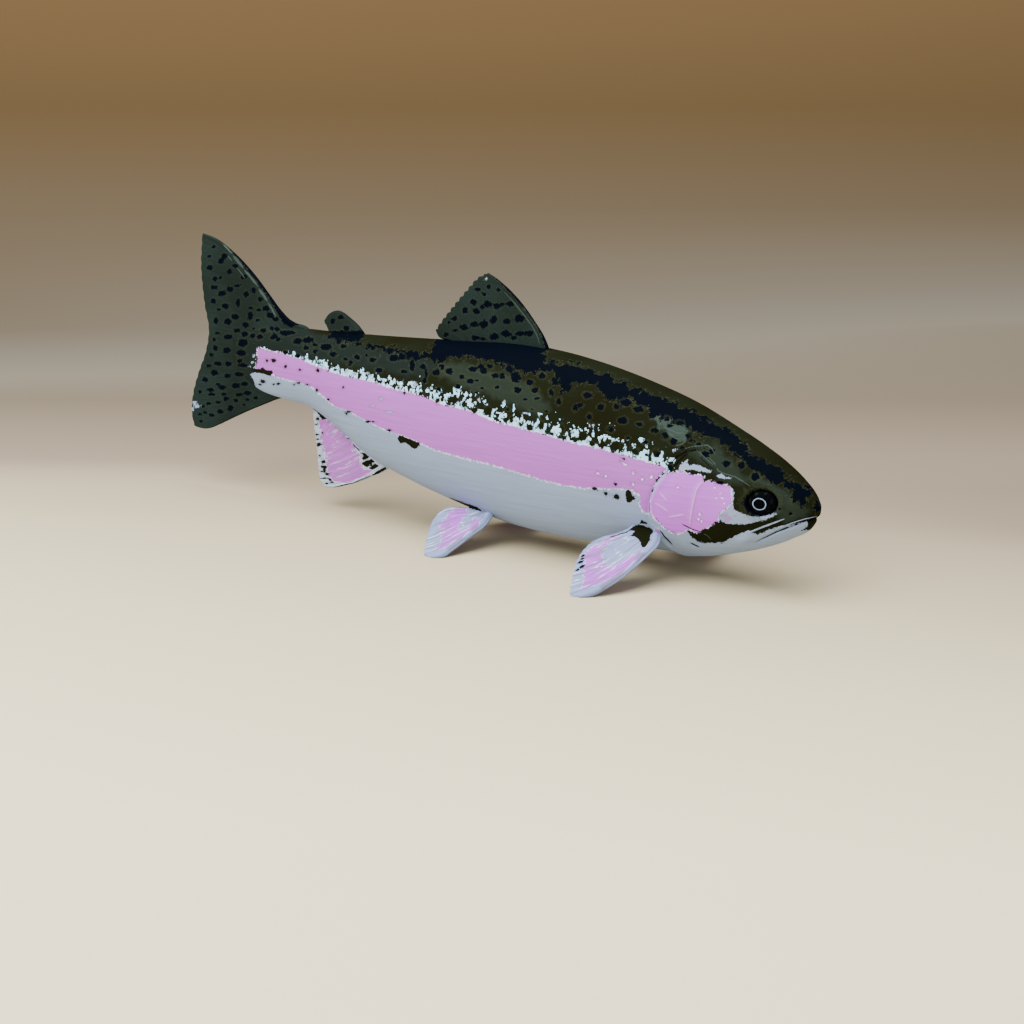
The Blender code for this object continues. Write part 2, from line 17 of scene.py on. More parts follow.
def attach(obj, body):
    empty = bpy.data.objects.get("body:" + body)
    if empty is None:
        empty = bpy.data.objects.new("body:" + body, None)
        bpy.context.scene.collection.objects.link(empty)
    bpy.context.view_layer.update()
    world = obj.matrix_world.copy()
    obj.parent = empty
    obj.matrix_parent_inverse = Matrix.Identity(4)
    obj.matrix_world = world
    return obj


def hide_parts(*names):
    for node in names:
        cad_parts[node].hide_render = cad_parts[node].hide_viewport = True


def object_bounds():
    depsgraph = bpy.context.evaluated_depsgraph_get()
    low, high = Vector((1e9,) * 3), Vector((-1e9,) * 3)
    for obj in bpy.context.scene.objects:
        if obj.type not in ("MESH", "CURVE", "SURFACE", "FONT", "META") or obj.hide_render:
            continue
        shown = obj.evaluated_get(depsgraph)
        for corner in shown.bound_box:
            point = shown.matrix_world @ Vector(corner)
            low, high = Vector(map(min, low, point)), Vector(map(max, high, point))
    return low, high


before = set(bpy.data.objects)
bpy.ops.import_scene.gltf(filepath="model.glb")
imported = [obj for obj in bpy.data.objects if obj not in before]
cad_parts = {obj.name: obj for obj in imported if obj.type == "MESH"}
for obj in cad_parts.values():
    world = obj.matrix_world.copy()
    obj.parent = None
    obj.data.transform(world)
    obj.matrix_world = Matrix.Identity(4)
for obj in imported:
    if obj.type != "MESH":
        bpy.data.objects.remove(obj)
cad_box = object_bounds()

bl_info = {
    "name": "Rainbow Trout Figurine",
    "version": (1, 0, 0),
    "blender": (4, 5, 0),
    "location": "View3D > Sidebar > Trout",
    "description": "Builds a printed rainbow trout around its packed solids",
    "category": "Add Mesh",
}

# Lengths in this file are millimetres and become metres as meshes are made
MM = 0.001

# Nearness at which points merge, the least length to divide by, and depths that count as outside
MERGE = 0.0001
TINY = 1e-9
OUTSIDE = -2.0
FAR = 9.0

# Body profile: (place along the body, size) from the tail wedge to the snout
SNOUT = 80.0
SNOUT_LEVEL = 17.6
WEDGE_END = -66.0
BACK_LEVEL = [(-66, 35.4), (-60, 37.2), (-50, 38.1), (-36, 38.4), (-14, 39.3), (0, 40.1), (10, 40.7),
              (20, 40.4), (31, 39.0), (42, 36.7), (53, 33.6), (61, 30.4), (67, 27.8), (72, 25.2),
              (76, 22.4), (78.6, 19.9), (79.8, 18.4)]
BELLY_LEVEL = [(-66, 27.0), (-60, 23.9), (-50, 22.2), (-44, 21.7), (-36, 18.4), (-26, 12.9), (-14, 9.3),
               (0, 6.2), (10, 4.4), (20, 3.7), (31, 3.7), (42, 4.4), (55, 5.1), (62, 6.3), (69, 8.5),
               (75, 11.3), (78.4, 13.7), (79.8, 16.0)]
HALF_WIDTH = [(-66, 0.4), (-60, 1.1), (-50, 2.9), (-36, 5.0), (-26, 6.5), (-14, 8.1), (0, 9.3),
              (10, 9.9), (20, 10.1), (31, 10.1), (42, 9.7), (49, 9.2), (55, 8.4), (62, 7.2),
              (69, 5.7), (75, 4.0), (78.4, 2.4), (79.8, 0.8)]
WIDEST_LEVEL = [(-66, 31.0), (-60, 30.5), (-50, 30.0), (-36, 28.2), (-26, 25.8), (-14, 23.6), (0, 22.3),
                (20, 21.6), (42, 20.4), (55, 19.0), (67, 17.6), (75, 17.0), (79.8, 17.5)]

# Skin: how square its sections are, points round it, and its rows as (start, end, count)
SECTION_POWER = 0.95
SKIN_AROUND = 224
SKIN_STEPS = [(WEDGE_END, 46.0, 224), (46.0, 79.0, 136), (79.0, 79.8, 8)]

# Gill opening in side view, (x, z), from the back down to the throat
GILL_EDGE = [(61.0, 44.0), (58.6, 31.6), (55.6, 26.4), (52.6, 22.4), (50.0, 18.2), (48.7, 14.8), (48.5, 11.8),
             (49.2, 9.2), (50.6, 6.7), (53.0, 4.6), (56.0, -2.0)]

# Relief of the head: how far the skin faces the camera where it sets in, where along the body it
# starts, how far a line spreads, and its strength at its ends and gain towards its middle
RELIEF_FACING = (-0.02, 0.12)
RELIEF_FROM = (44.0, 46.5)
RELIEF_SPREAD = 1.5
RELIEF_TAPER = (0.25, 6.0)

# Gill cover: height of its step, share of that lost ahead, heights of its rim and groove, each with
# where it rises and falls in millimetres ahead of the opening; and the levels and the places along
# the body between which they all set in
GILL_STEP = 0.5
GILL_STEP_AT = (-0.25, 0.25)
GILL_LOSS = 0.85
GILL_LOSS_AT = (1.5, 11.0)
GILL_RIM = 0.12
GILL_RIM_AT = ((0.0, 0.35), (1.3, 0.7))
GILL_GROOVE = 0.16
GILL_GROOVE_AT = ((-1.0, -0.25), (0.05, -0.2))
GILL_TOP = (26.5, 21.5)
GILL_FROM = (40.0, 44.0)

# Eye socket: radii, depth, height of its rim, and the shares of the radii where each rises and falls
SOCKET_RADII = (2.9, 2.4)
SOCKET_DEPTH = 1.1
SOCKET_AT = (1.06, 0.9)
SOCKET_RIM = 0.2
SOCKET_RIM_AT = ((1.0, 1.08), (1.5, 1.2))

# Bulge of the jaw: height, middle in the head's close-up, and turn and size in the whole picture;
# and the nostrils' depth, and their size in the whole picture
JAW_BULGE = 0.5
JAW_BULGE_AT = (925, 868)
JAW_BULGE_TURN = ((0.94, 0.34), (-0.34, 0.94))
JAW_BULGE_HALF = (9.5, 5.0)
NOSTRIL_DEPTH = 0.35
NOSTRIL_HALF = 2.0

# Eye in side view, its radii, and the height of its dome at the middle and at the edge
EYE_AT = (70.9, 18.2)
EYE_RADII = (2.65, 2.2)
EYE_CROWN = 0.36
EYE_EDGE = -0.45
EYE_DOME = 2.2
EYE_RING = 0.47
EYE_RING_HALF = 0.036
EYE_RING_OFFSET = (-0.16, -0.11, 0.0)
EYE_SUNK = -1.5
EYE_AROUND = 64
EYE_RINGS = 24

# Fins: spacing of their grid, lines in a rounded edge, half thickness from root to margin, the
# middle level of a margin's scallops, how fast they fade from it, and how deep a root sits
FIN_GRID = 0.35
EDGE_LINES = 5
MEMBRANE_HALF = (0.36, 0.22)
ADIPOSE_HALF = (0.85, 0.55)
SCALLOP_LEVEL = 0.7
SCALLOP_POWER = 8
ROOT_SINK = 0.8

# Fin rays: radius from root to margin, part of a spacing left free behind the last ray, sides, and
# shares of the fin where the spine ends and a ray forks, has spread and ends; how far its branches
# spread, in spacings; and points along the spine, a ray and a branch
RAY_HALF = (0.44, 0.27)
RAY_SHARE = 0.3
RAY_SIDES = 8
SPINE_END = 0.99
FORK = 0.45
FORK_DONE = 0.85
RAY_END = 0.985
FORK_SPREAD = 0.25
SPINE_POINTS = 100
RAY_POINTS = 50
BRANCH_POINTS = 60

# Print: how often streaks, and the painted highlights on the rays, repeat along and across a fin,
# and strokes along the body's axes; the rim round a mark; the width of a line at its ends and its
# gain towards its middle; how far the skin turns from the camera where marks end; how deep the
# white lace lies beside the pink band, and how much less per millimetre above it; and where the
# belly's white runs on underneath
STREAKS = (1.8, 17.0, 1.0)
RIDGES = (0.75, 22.0, 1.0)
STROKES = (90.0, 90.0, 2100.0)
MARK_RIM = 0.35
LINE_TAPER = (0.35, 3.25)
HIDDEN_FACING = (0.02, -0.06)
LACE_DEPTH = 0.3
LACE_FADE = 0.3
WHITE_UNDER = (-48.0, -44.0)

# Strength of the plastic's reflections
PLASTIC_GLOSS = 0.005

# Floor: where it starts, how far it runs behind the fish, the radius of its bend, its height,
# half its width in all and near the fish, the length that its tones cover, rows before its bend
# and in it, and columns near the fish
FLOOR_FRONT = -1200.0
FLOOR_DEPTH = 260.0
FLOOR_BEND = 420.0
FLOOR_TOP = 1600.0
FLOOR_SIDE = 1500.0
FLOOR_NEAR_SIDE = 500.0
FLOOR_RUN = 1600.0
FLOOR_ROWS = 40
FLOOR_TURNS = 45
FLOOR_COLUMNS = 31

# Painted falloff of the light: tones along the floor, pale in front and darker under and behind the fish and
# up the backdrop, and how far each place's tones lean to one side
FLOOR_FALLOFF = [(-400, "paper"), (-160, "paper"), (-78, "paper_front"), (-12, "paper_mid"),
               (38, "paper_near"), (60, "paper_dim"), (143, "paper_far"), (204, "paper_glow"),
               (259, "paper_band"), (400, "paper_low"), (480, "paper_top"), (555, "paper_high"),
               (1200, "paper_high")]
FALLOFF_LEAN = [(-250, 0.0), (-100, 0.4), (0, 0.5), (40, 0.38), (70, 0.08), (110, 0.05), (143, 0.0),
              (200, -0.3), (260, -0.5), (320, -0.25), (400, 0.0)]

# Lamps: name, place, aim, size in metres, and power; their colour; and the room's light
LAMPS = [("overhead_light", (-50, -300, 700), (0, 0, 0), (0.8, 1.2), 18.2),
         ("front_light", (-540, -610, 60), (0, 0, 25), (0.4, 0.4), 2.2)]
LAMP_COLOUR = (1.0, 0.97, 0.92)
ROOM_COLOUR = (0.95, 0.97, 1.0, 1.0)
ROOM_STRENGTH = 0.65

# Median fins in side view: leading edge root to tip, margin, and trailing edge root to end
DORSAL_BASE = (19.4, -3.0)
DORSAL_LEAD = [(17.8, 42.7), (15.7, 45.3), (12.5, 48.7), (9.4, 51.2), (6.3, 53.1)]
DORSAL_MARGIN = [(4.1, 54.1), (2.0, 53.2), (-1.4, 50.1), (-4.7, 46.7), (-7.0, 44.2), (-9.2, 41.6)]
DORSAL_TRAIL = [(-5.6, 39.75), (-8.2, 40.15)]
ADIPOSE_BASE = (-27.8, -37.6)
ADIPOSE_LEAD = [(-30.0, 40.2), (-32.4, 41.7)]
ADIPOSE_MARGIN = [(-34.3, 42.7), (-35.9, 42.9), (-37.9, 42.2), (-39.3, 40.6)]
ADIPOSE_TRAIL = [(-38.7, 39.5)]
ANAL_BASE = (-21.0, -43.4)
ANAL_LEAD = [(-23.4, 10.3), (-26.7, 8.8), (-29.7, 7.3), (-33.2, 6.0), (-37.5, 4.7)]
ANAL_MARGIN = [(-40.1, 4.4), (-41.5, 5.6), (-42.0, 8.3), (-42.2, 11.5), (-42.7, 15.3), (-42.9, 19.4)]
CAUDAL_BASE = [(-42.5, 37.2), (-51.0, 34.5), (-54.0, 30.0), (-53.0, 25.5), (-51.4, 22.8)]
CAUDAL_LEAD = [(-44.3, 38.5), (-47.3, 39.0), (-49.5, 39.8), (-51.8, 41.4), (-55.0, 44.4), (-59.0, 48.2),
               (-64.7, 52.5), (-71.0, 55.7)]
CAUDAL_MARGIN = [(-74.6, 56.4), (-75.3, 49.0), (-74.6, 40.8), (-73.6, 35.0), (-74.7, 30.4), (-77.2, 25.3),
                 (-79.3, 19.8), (-79.8, 15.8), (-79.2, 13.0)]
CAUDAL_TRAIL = [(-54.2, 21.8), (-57.4, 20.4), (-61.9, 18.5), (-65.9, 16.7), (-71.0, 14.4), (-76.2, 12.8)]

# Paired fins in their own plane: u runs back along the root, v out to the tip
PECTORAL_PLANE = ((49.5, 6.7, 9.75), (44.4, 7.4, 10.05), (43.4, 24.3, 0.0))
PECTORAL_BASE = [(-0.6, -2.6), (5.4, -2.2)]
PECTORAL_LEAD = [(-0.8, 0.2), (-1.5, 2.9), (-0.6, 6.6), (0.7, 10.8), (2.6, 14.6), (4.6, 17.5)]
PECTORAL_MARGIN = [(7.0, 19.4), (9.2, 19.6), (10.1, 17.7), (11.1, 14.6), (11.9, 11.5), (12.0, 8.6),
                   (11.3, 6.0)]
PECTORAL_TRAIL = [(5.6, 0.6), (7.5, 2.5), (9.5, 4.1)]
PELVIC_PLANE = ((6.3, 4.5, 6.9), (-2.6, 3.5, 8.0), (4.1, 19.0, -0.05))
PELVIC_BASE = [(-2.0, -2.6), (1.2, -2.6)]
PELVIC_LEAD = [(-2.9, 0.5), (-3.6, 3.2), (-3.6, 5.6), (-3.2, 9.0), (-2.9, 12.0), (-2.5, 14.6)]
PELVIC_MARGIN = [(-1.0, 16.1), (1.2, 16.2), (3.2, 14.0), (5.4, 11.0), (7.3, 7.8), (8.1, 5.0)]
PELVIC_TRAIL = [(1.5, -0.6), (3.4, 0.8), (5.8, 1.8), (7.6, 3.0)]

# Camera: the picture's side and the focal length in its pixels, the sensor, the nearest and
# farthest that it sees in metres, its place, and how it turns
PICTURE = 1024
FOCAL = 2200.0
SENSOR = 36.0
SIGHT = (0.01, 20.0)
CAMERA_AT = np.array((268.709, -343.330, 113.509))
CAMERA_YAW = radians(37.0)
CAMERA_DOWN = radians(14.0)
CAMERA_RIGHT = np.array((cos(CAMERA_YAW), sin(CAMERA_YAW), 0.0))
CAMERA_AHEAD = np.array((-sin(CAMERA_YAW) * cos(CAMERA_DOWN), cos(CAMERA_YAW) * cos(CAMERA_DOWN),
                         -sin(CAMERA_DOWN)))
CAMERA_UP = np.cross(CAMERA_RIGHT, CAMERA_AHEAD)

# Close-ups of the picture that the marks are read from: left, top and magnification
WHOLE = (0, 0, 1)
HEAD = (625, 425, 7.65)
NAPE = (540, 335, 7.84)
FLANK = (430, 325, 7.467)
REAR = (245, 305, 7.84)
TAIL = (180, 222, 7.194)
DORSAL = (420, 260, 7.0)
ANAL = (303, 395, 15.68)
PELVIC = (415, 490, 18.447)
PECTORAL = (562, 515, 13.876)

# Printed areas and areas of painted sheen: a close-up and an outline in it, grouped by the layer of plastic
# or of sheen
BAND_TOP = [(258, 348), (270, 351), (283, 354), (300, 359), (314, 365), (322, 368), (334, 373), (353, 378),
            (373, 382), (392, 389), (411, 393), (424, 397), (443, 405), (470, 411), (486, 418), (497, 423),
            (513, 426), (534, 432), (550, 436), (572, 443), (597, 448), (618, 454), (640, 460), (668, 468)]
BAND_FRONT = [(660, 475), (654, 483), (651, 494), (650, 503), (650, 514)]
BAND_BOTTOM = [(643, 511), (640, 503), (641, 496), (633, 490), (626, 489), (605, 488), (584, 488),
               (559, 484), (544, 480), (524, 474), (497, 466), (474, 460), (457, 456), (436, 450),
               (421, 443), (404, 436), (389, 431), (376, 425), (360, 417), (347, 410), (334, 406),
               (323, 396), (314, 388), (299, 382), (281, 378), (269, 373), (259, 369), (255, 368),
               (258, 361), (257, 352)]
CHEEK = [(335, 372), (380, 362), (430, 355), (470, 372), (520, 385), (597, 392), (592, 425), (615, 438),
         (650, 430), (690, 440), (712, 455), (760, 455), (795, 470), (810, 500), (815, 545), (812, 590),
         (780, 630), (745, 655), (708, 690), (715, 730), (680, 745), (640, 780), (590, 795), (560, 822),
         (520, 815), (500, 795), (470, 798), (440, 820), (400, 830), (350, 815), (300, 780), (250, 735),
         (215, 690), (197, 640), (193, 590), (200, 550), (215, 500), (240, 450), (275, 408), (305, 385)]
PINK_AREAS = [(WHOLE, BAND_TOP + BAND_FRONT + BAND_BOTTOM), (HEAD, CHEEK)]
# The nape, brow, gill top, snout and upper back outlines below are painted sheen: grey green laid over the
# olive where these catch the light. The stalk's outline takes the dark fins' plastic.
NAPE_SHEEN = [(650, 402), (664, 406), (678, 416), (689, 427), (692, 437), (684, 442), (670, 437), (656, 424)]
BROW_SHEEN = [(744, 478), (758, 474), (774, 482), (790, 494), (806, 506), (812, 514), (790, 522), (780, 512),
             (772, 492), (756, 484)]
GILL_SHEEN = [(700, 440), (716, 446), (732, 462), (748, 480), (744, 488), (728, 482), (706, 466), (690, 452)]
SNOUT_SHEEN = [(762, 482), (778, 486), (792, 494), (804, 506), (812, 510), (806, 516), (785, 522),
              (774, 512), (772, 496)]
BACK_SHEEN = [(436, 362), (475, 366), (504, 372), (526, 382), (540, 394), (548, 408), (540, 418), (522, 410),
             (500, 400), (480, 392), (460, 386), (440, 378)]
STALK_MIST = [(190, 290), (250, 300), (290, 322), (330, 338), (380, 350), (420, 354), (440, 366),
              (425, 378), (385, 372), (335, 364), (295, 356), (262, 352), (258, 372), (270, 400),
              (235, 440), (190, 440)]
NAPE_SHEEN_AREAS = [(WHOLE, NAPE_SHEEN)]
SHEEN_AREAS = [(WHOLE, BACK_SHEEN), (WHOLE, SNOUT_SHEEN), (WHOLE, GILL_SHEEN), (WHOLE, BROW_SHEEN)]
STALK_AREAS = [(WHOLE, STALK_MIST)]
FRINGE_TOP = [(258, 352), (283, 356), (300, 358), (314, 362), (334, 368), (353, 373), (366, 376),
              (380, 379), (392, 381), (411, 386), (424, 388), (445, 392), (457, 392), (470, 398),
              (488, 402), (505, 409), (516, 412), (530, 416), (544, 419), (559, 422), (568, 425),
              (577, 429), (591, 430), (604, 433), (623, 436), (636, 442), (648, 447), (662, 454),
              (669, 459)]
LACE_AREAS = [(WHOLE, FRINGE_TOP + [(668, 470)]
               + [(x, y + 2.5) for x, y in reversed(BAND_TOP[:-1])])]
BELLY = [(250, 374), (255, 372), (263, 374), (270, 376), (281, 375), (299, 376), (314, 381), (323, 388),
         (334, 398), (347, 402), (376, 417), (404, 430), (436, 444), (474, 454), (524, 467), (559, 477),
         (605, 481), (645, 480), (652, 490), (651, 515), (700, 560), (700, 660), (250, 660), (279, 405),
         (265, 396), (259, 393), (256, 388), (255, 384), (253, 379)]
JAW = [(195, 640), (215, 690), (250, 735), (300, 780), (350, 815), (400, 832), (440, 822), (478, 805),
       (485, 825), (510, 860), (550, 890), (600, 905), (700, 900), (760, 900), (800, 870), (850, 845),
       (900, 822), (950, 808), (975, 825), (1010, 838), (1050, 828), (1100, 802), (1150, 784), (1195, 770),
       (1240, 768), (1300, 752), (1340, 745), (1395, 738), (1402, 775), (1375, 790), (1350, 806),
       (1400, 804), (1428, 806), (1520, 800), (1520, 1150), (100, 1150), (100, 640)]
EYE_PATCH = [(795, 468), (828, 495), (832, 545), (825, 585), (832, 640), (870, 665), (930, 690),
             (1000, 700), (1060, 692), (1110, 680), (1162, 668), (1165, 680), (1120, 706), (1080, 722),
             (1050, 735), (1000, 741), (950, 757), (900, 760), (850, 758), (780, 755), (740, 737),
             (710, 715), (706, 690), (745, 655), (785, 628), (812, 595), (815, 545), (808, 500)]
GILL_CRESCENT = [(408, 325), (440, 290), (482, 260), (472, 290), (500, 312), (530, 300), (575, 312),
                 (620, 335), (665, 352), (655, 366), (600, 357), (540, 347), (480, 342), (440, 350),
                 (415, 345)]
BROW_FLECK = [(697, 388), (740, 373), (762, 392), (812, 405), (800, 415), (750, 409), (705, 400)]
NAPE_FLECK = [(1030, 905), (1060, 885), (1082, 905), (1045, 918)]
WHITE_AREAS = [(WHOLE, BELLY), (HEAD, JAW), (HEAD, EYE_PATCH), (HEAD, GILL_CRESCENT), (HEAD, BROW_FLECK),
               (NAPE, NAPE_FLECK)]
NAVY_BACK = [(553, 351), (544, 354), (546, 360), (559, 362), (572, 364), (585, 367), (596, 373), (609, 373),
             (616, 380), (632, 387), (642, 391), (655, 394), (665, 398), (675, 403), (685, 408), (697, 414),
             (710, 420), (721, 426), (731, 432), (743, 442), (750, 452), (761, 458), (773, 464), (779, 468),
             (787, 477), (795, 482), (805, 486), (812, 490), (811, 496), (806, 500), (804, 507), (799, 504),
             (787, 503), (794, 501), (791, 492), (782, 486), (771, 483), (756, 471), (747, 464), (737, 454),
             (724, 446), (720, 438), (703, 437), (698, 432), (688, 429), (684, 424), (674, 423), (662, 419),
             (650, 417), (646, 406), (637, 406), (633, 401), (629, 399), (622, 404), (608, 397), (599, 392),
             (596, 385), (581, 383), (572, 384), (575, 389), (571, 392), (561, 392), (559, 385), (550, 380),
             (559, 378), (550, 373), (524, 372), (510, 368), (500, 365), (494, 361), (478, 360), (469, 357),
             (457, 358), (447, 359), (438, 364), (429, 359), (415, 362), (410, 362), (398, 355), (383, 352),
             (380, 348), (360, 346), (357, 343), (383, 346), (398, 348), (417, 352), (431, 354), (435, 330),
             (553, 330)]
NAVY_ADIPOSE = [(640, 240), (665, 200), (950, 200), (925, 262), (890, 290), (860, 285), (780, 290),
                (740, 302), (700, 272), (640, 255)]
NOSE = [(1435, 590), (1480, 595), (1530, 625), (1510, 665), (1460, 680), (1437, 640)]
DORSAL_EDGE = [(470, 80), (560, 125), (650, 195), (720, 280), (790, 370), (850, 465), (900, 560),
               (960, 640), (884, 640), (872, 600), (856, 548), (828, 488), (788, 418), (728, 338),
               (662, 262), (592, 192), (517, 118)]
TAIL_EDGE = [(165, 60), (215, 75), (300, 130), (400, 210), (480, 280), (560, 380), (640, 480), (720, 580),
             (790, 670), (860, 735), (800, 762), (752, 734), (705, 668), (656, 578), (596, 488), (535, 408),
             (464, 318), (393, 238), (321, 164), (238, 96)]
NAVY_AREAS = [(WHOLE, NAVY_BACK), (REAR, NAVY_ADIPOSE), (HEAD, NOSE)]
BLOTCH = [(399, 435), (403, 436), (407, 438), (415, 441), (420, 443), (420, 445), (417, 448), (413, 449),
          (410, 446), (406, 443), (400, 443), (397, 439)]
TAIL_BLOTCH = [(62, 505), (90, 498), (100, 508), (140, 488), (168, 512), (215, 512), (222, 540), (190, 555),
               (150, 530), (100, 532), (60, 528)]
GILL_BLOTCH = [(10, 490), (40, 500), (48, 520), (45, 545), (80, 545), (85, 570), (60, 570), (50, 590),
               (20, 600), (8, 580), (5, 540)]
PECTORAL_ROOT = [(1110, 65), (1150, 85), (1195, 130), (1130, 150), (1200, 170), (1262, 205), (1255, 250),
                 (1225, 290), (1222, 350), (1195, 390), (1165, 430), (1130, 465), (1100, 420), (1085, 380),
                 (1060, 330), (1010, 300), (955, 290), (985, 255), (1015, 220), (960, 215), (880, 250),
                 (780, 275), (870, 232), (920, 215), (960, 180), (1010, 150), (1080, 115), (1085, 85)]
PELVIC_ROOT = [(630, 138), (740, 180), (840, 205), (930, 248), (1000, 265), (1080, 285), (1160, 325),
               (1210, 365), (1250, 402), (1215, 405), (1160, 378), (1080, 358), (1000, 330), (940, 300),
               (880, 268), (800, 232), (720, 208), (650, 170)]
ANAL_REAR_ROOT = [(110, 165), (225, 245), (260, 260), (330, 300), (430, 380), (425, 400), (380, 380),
                  (290, 385), (260, 330), (220, 270), (140, 210)]
ANAL_BLOCKS = [
    [(890, 910), (950, 900), (1040, 970), (1010, 995), (940, 1025), (905, 1005), (950, 960), (925, 920)],
    [(905, 1080), (960, 1040), (1080, 1000), (1130, 1045), (1060, 1090), (990, 1140), (960, 1110)],
    [(1030, 1145), (1120, 1075), (1200, 1110), (1100, 1170), (1060, 1172)],
    [(1080, 1250), (1180, 1180), (1290, 1125), (1325, 1155), (1200, 1225), (1100, 1280)],
]
OLIVE_AREAS = [(WHOLE, BLOTCH), (REAR, TAIL_BLOTCH), (HEAD, GILL_BLOTCH),
               (PECTORAL, PECTORAL_ROOT), (PELVIC, PELVIC_ROOT)]
PECTORAL_PINK = [(760, 298), (600, 338), (480, 383), (400, 430), (345, 500), (316, 580), (300, 680),
                 (282, 760), (285, 860), (300, 950), (290, 1010), (420, 975), (560, 938), (700, 880),
                 (830, 800), (960, 718), (1050, 640), (1085, 580), (1108, 500), (1122, 465), (1060, 500),
                 (960, 560), (860, 625), (760, 690), (690, 720), (620, 700), (570, 640), (545, 560),
                 (560, 470), (620, 400), (700, 340)]
PELVIC_PINK = [(905, 343), (800, 350), (680, 365), (615, 400), (560, 490), (490, 600), (450, 680),
               (440, 780), (460, 870), (490, 940), (470, 1000), (400, 1060), (470, 1085), (560, 1060),
               (650, 1012), (740, 950), (860, 880), (960, 822), (1060, 785), (1140, 722), (1190, 650),
               (1205, 585), (1250, 540), (1315, 485), (1290, 470), (1220, 528), (1160, 550), (1090, 520),
               (1060, 560), (1010, 640), (940, 720), (860, 760), (800, 700), (830, 600), (900, 500),
               (960, 440), (950, 380)]
ANAL_PINK = [(250, 400), (330, 385), (420, 410), (480, 440), (560, 520), (640, 610), (700, 680), (760, 770),
             (830, 850), (890, 920), (905, 1000), (900, 1080), (960, 1150), (1040, 1170), (1060, 1200),
             (1000, 1250), (900, 1310), (780, 1360), (600, 1385), (500, 1390), (470, 1330), (430, 1260),
             (390, 1180), (370, 1100), (340, 1020), (310, 960), (330, 880), (300, 800), (290, 700),
             (280, 600), (250, 500)]
THROAT_PINK = [(1290, 205), (1330, 195), (1365, 235), (1370, 290), (1345, 338), (1305, 345), (1288, 290)]
THROAT_AREAS = [(PECTORAL, THROAT_PINK)]
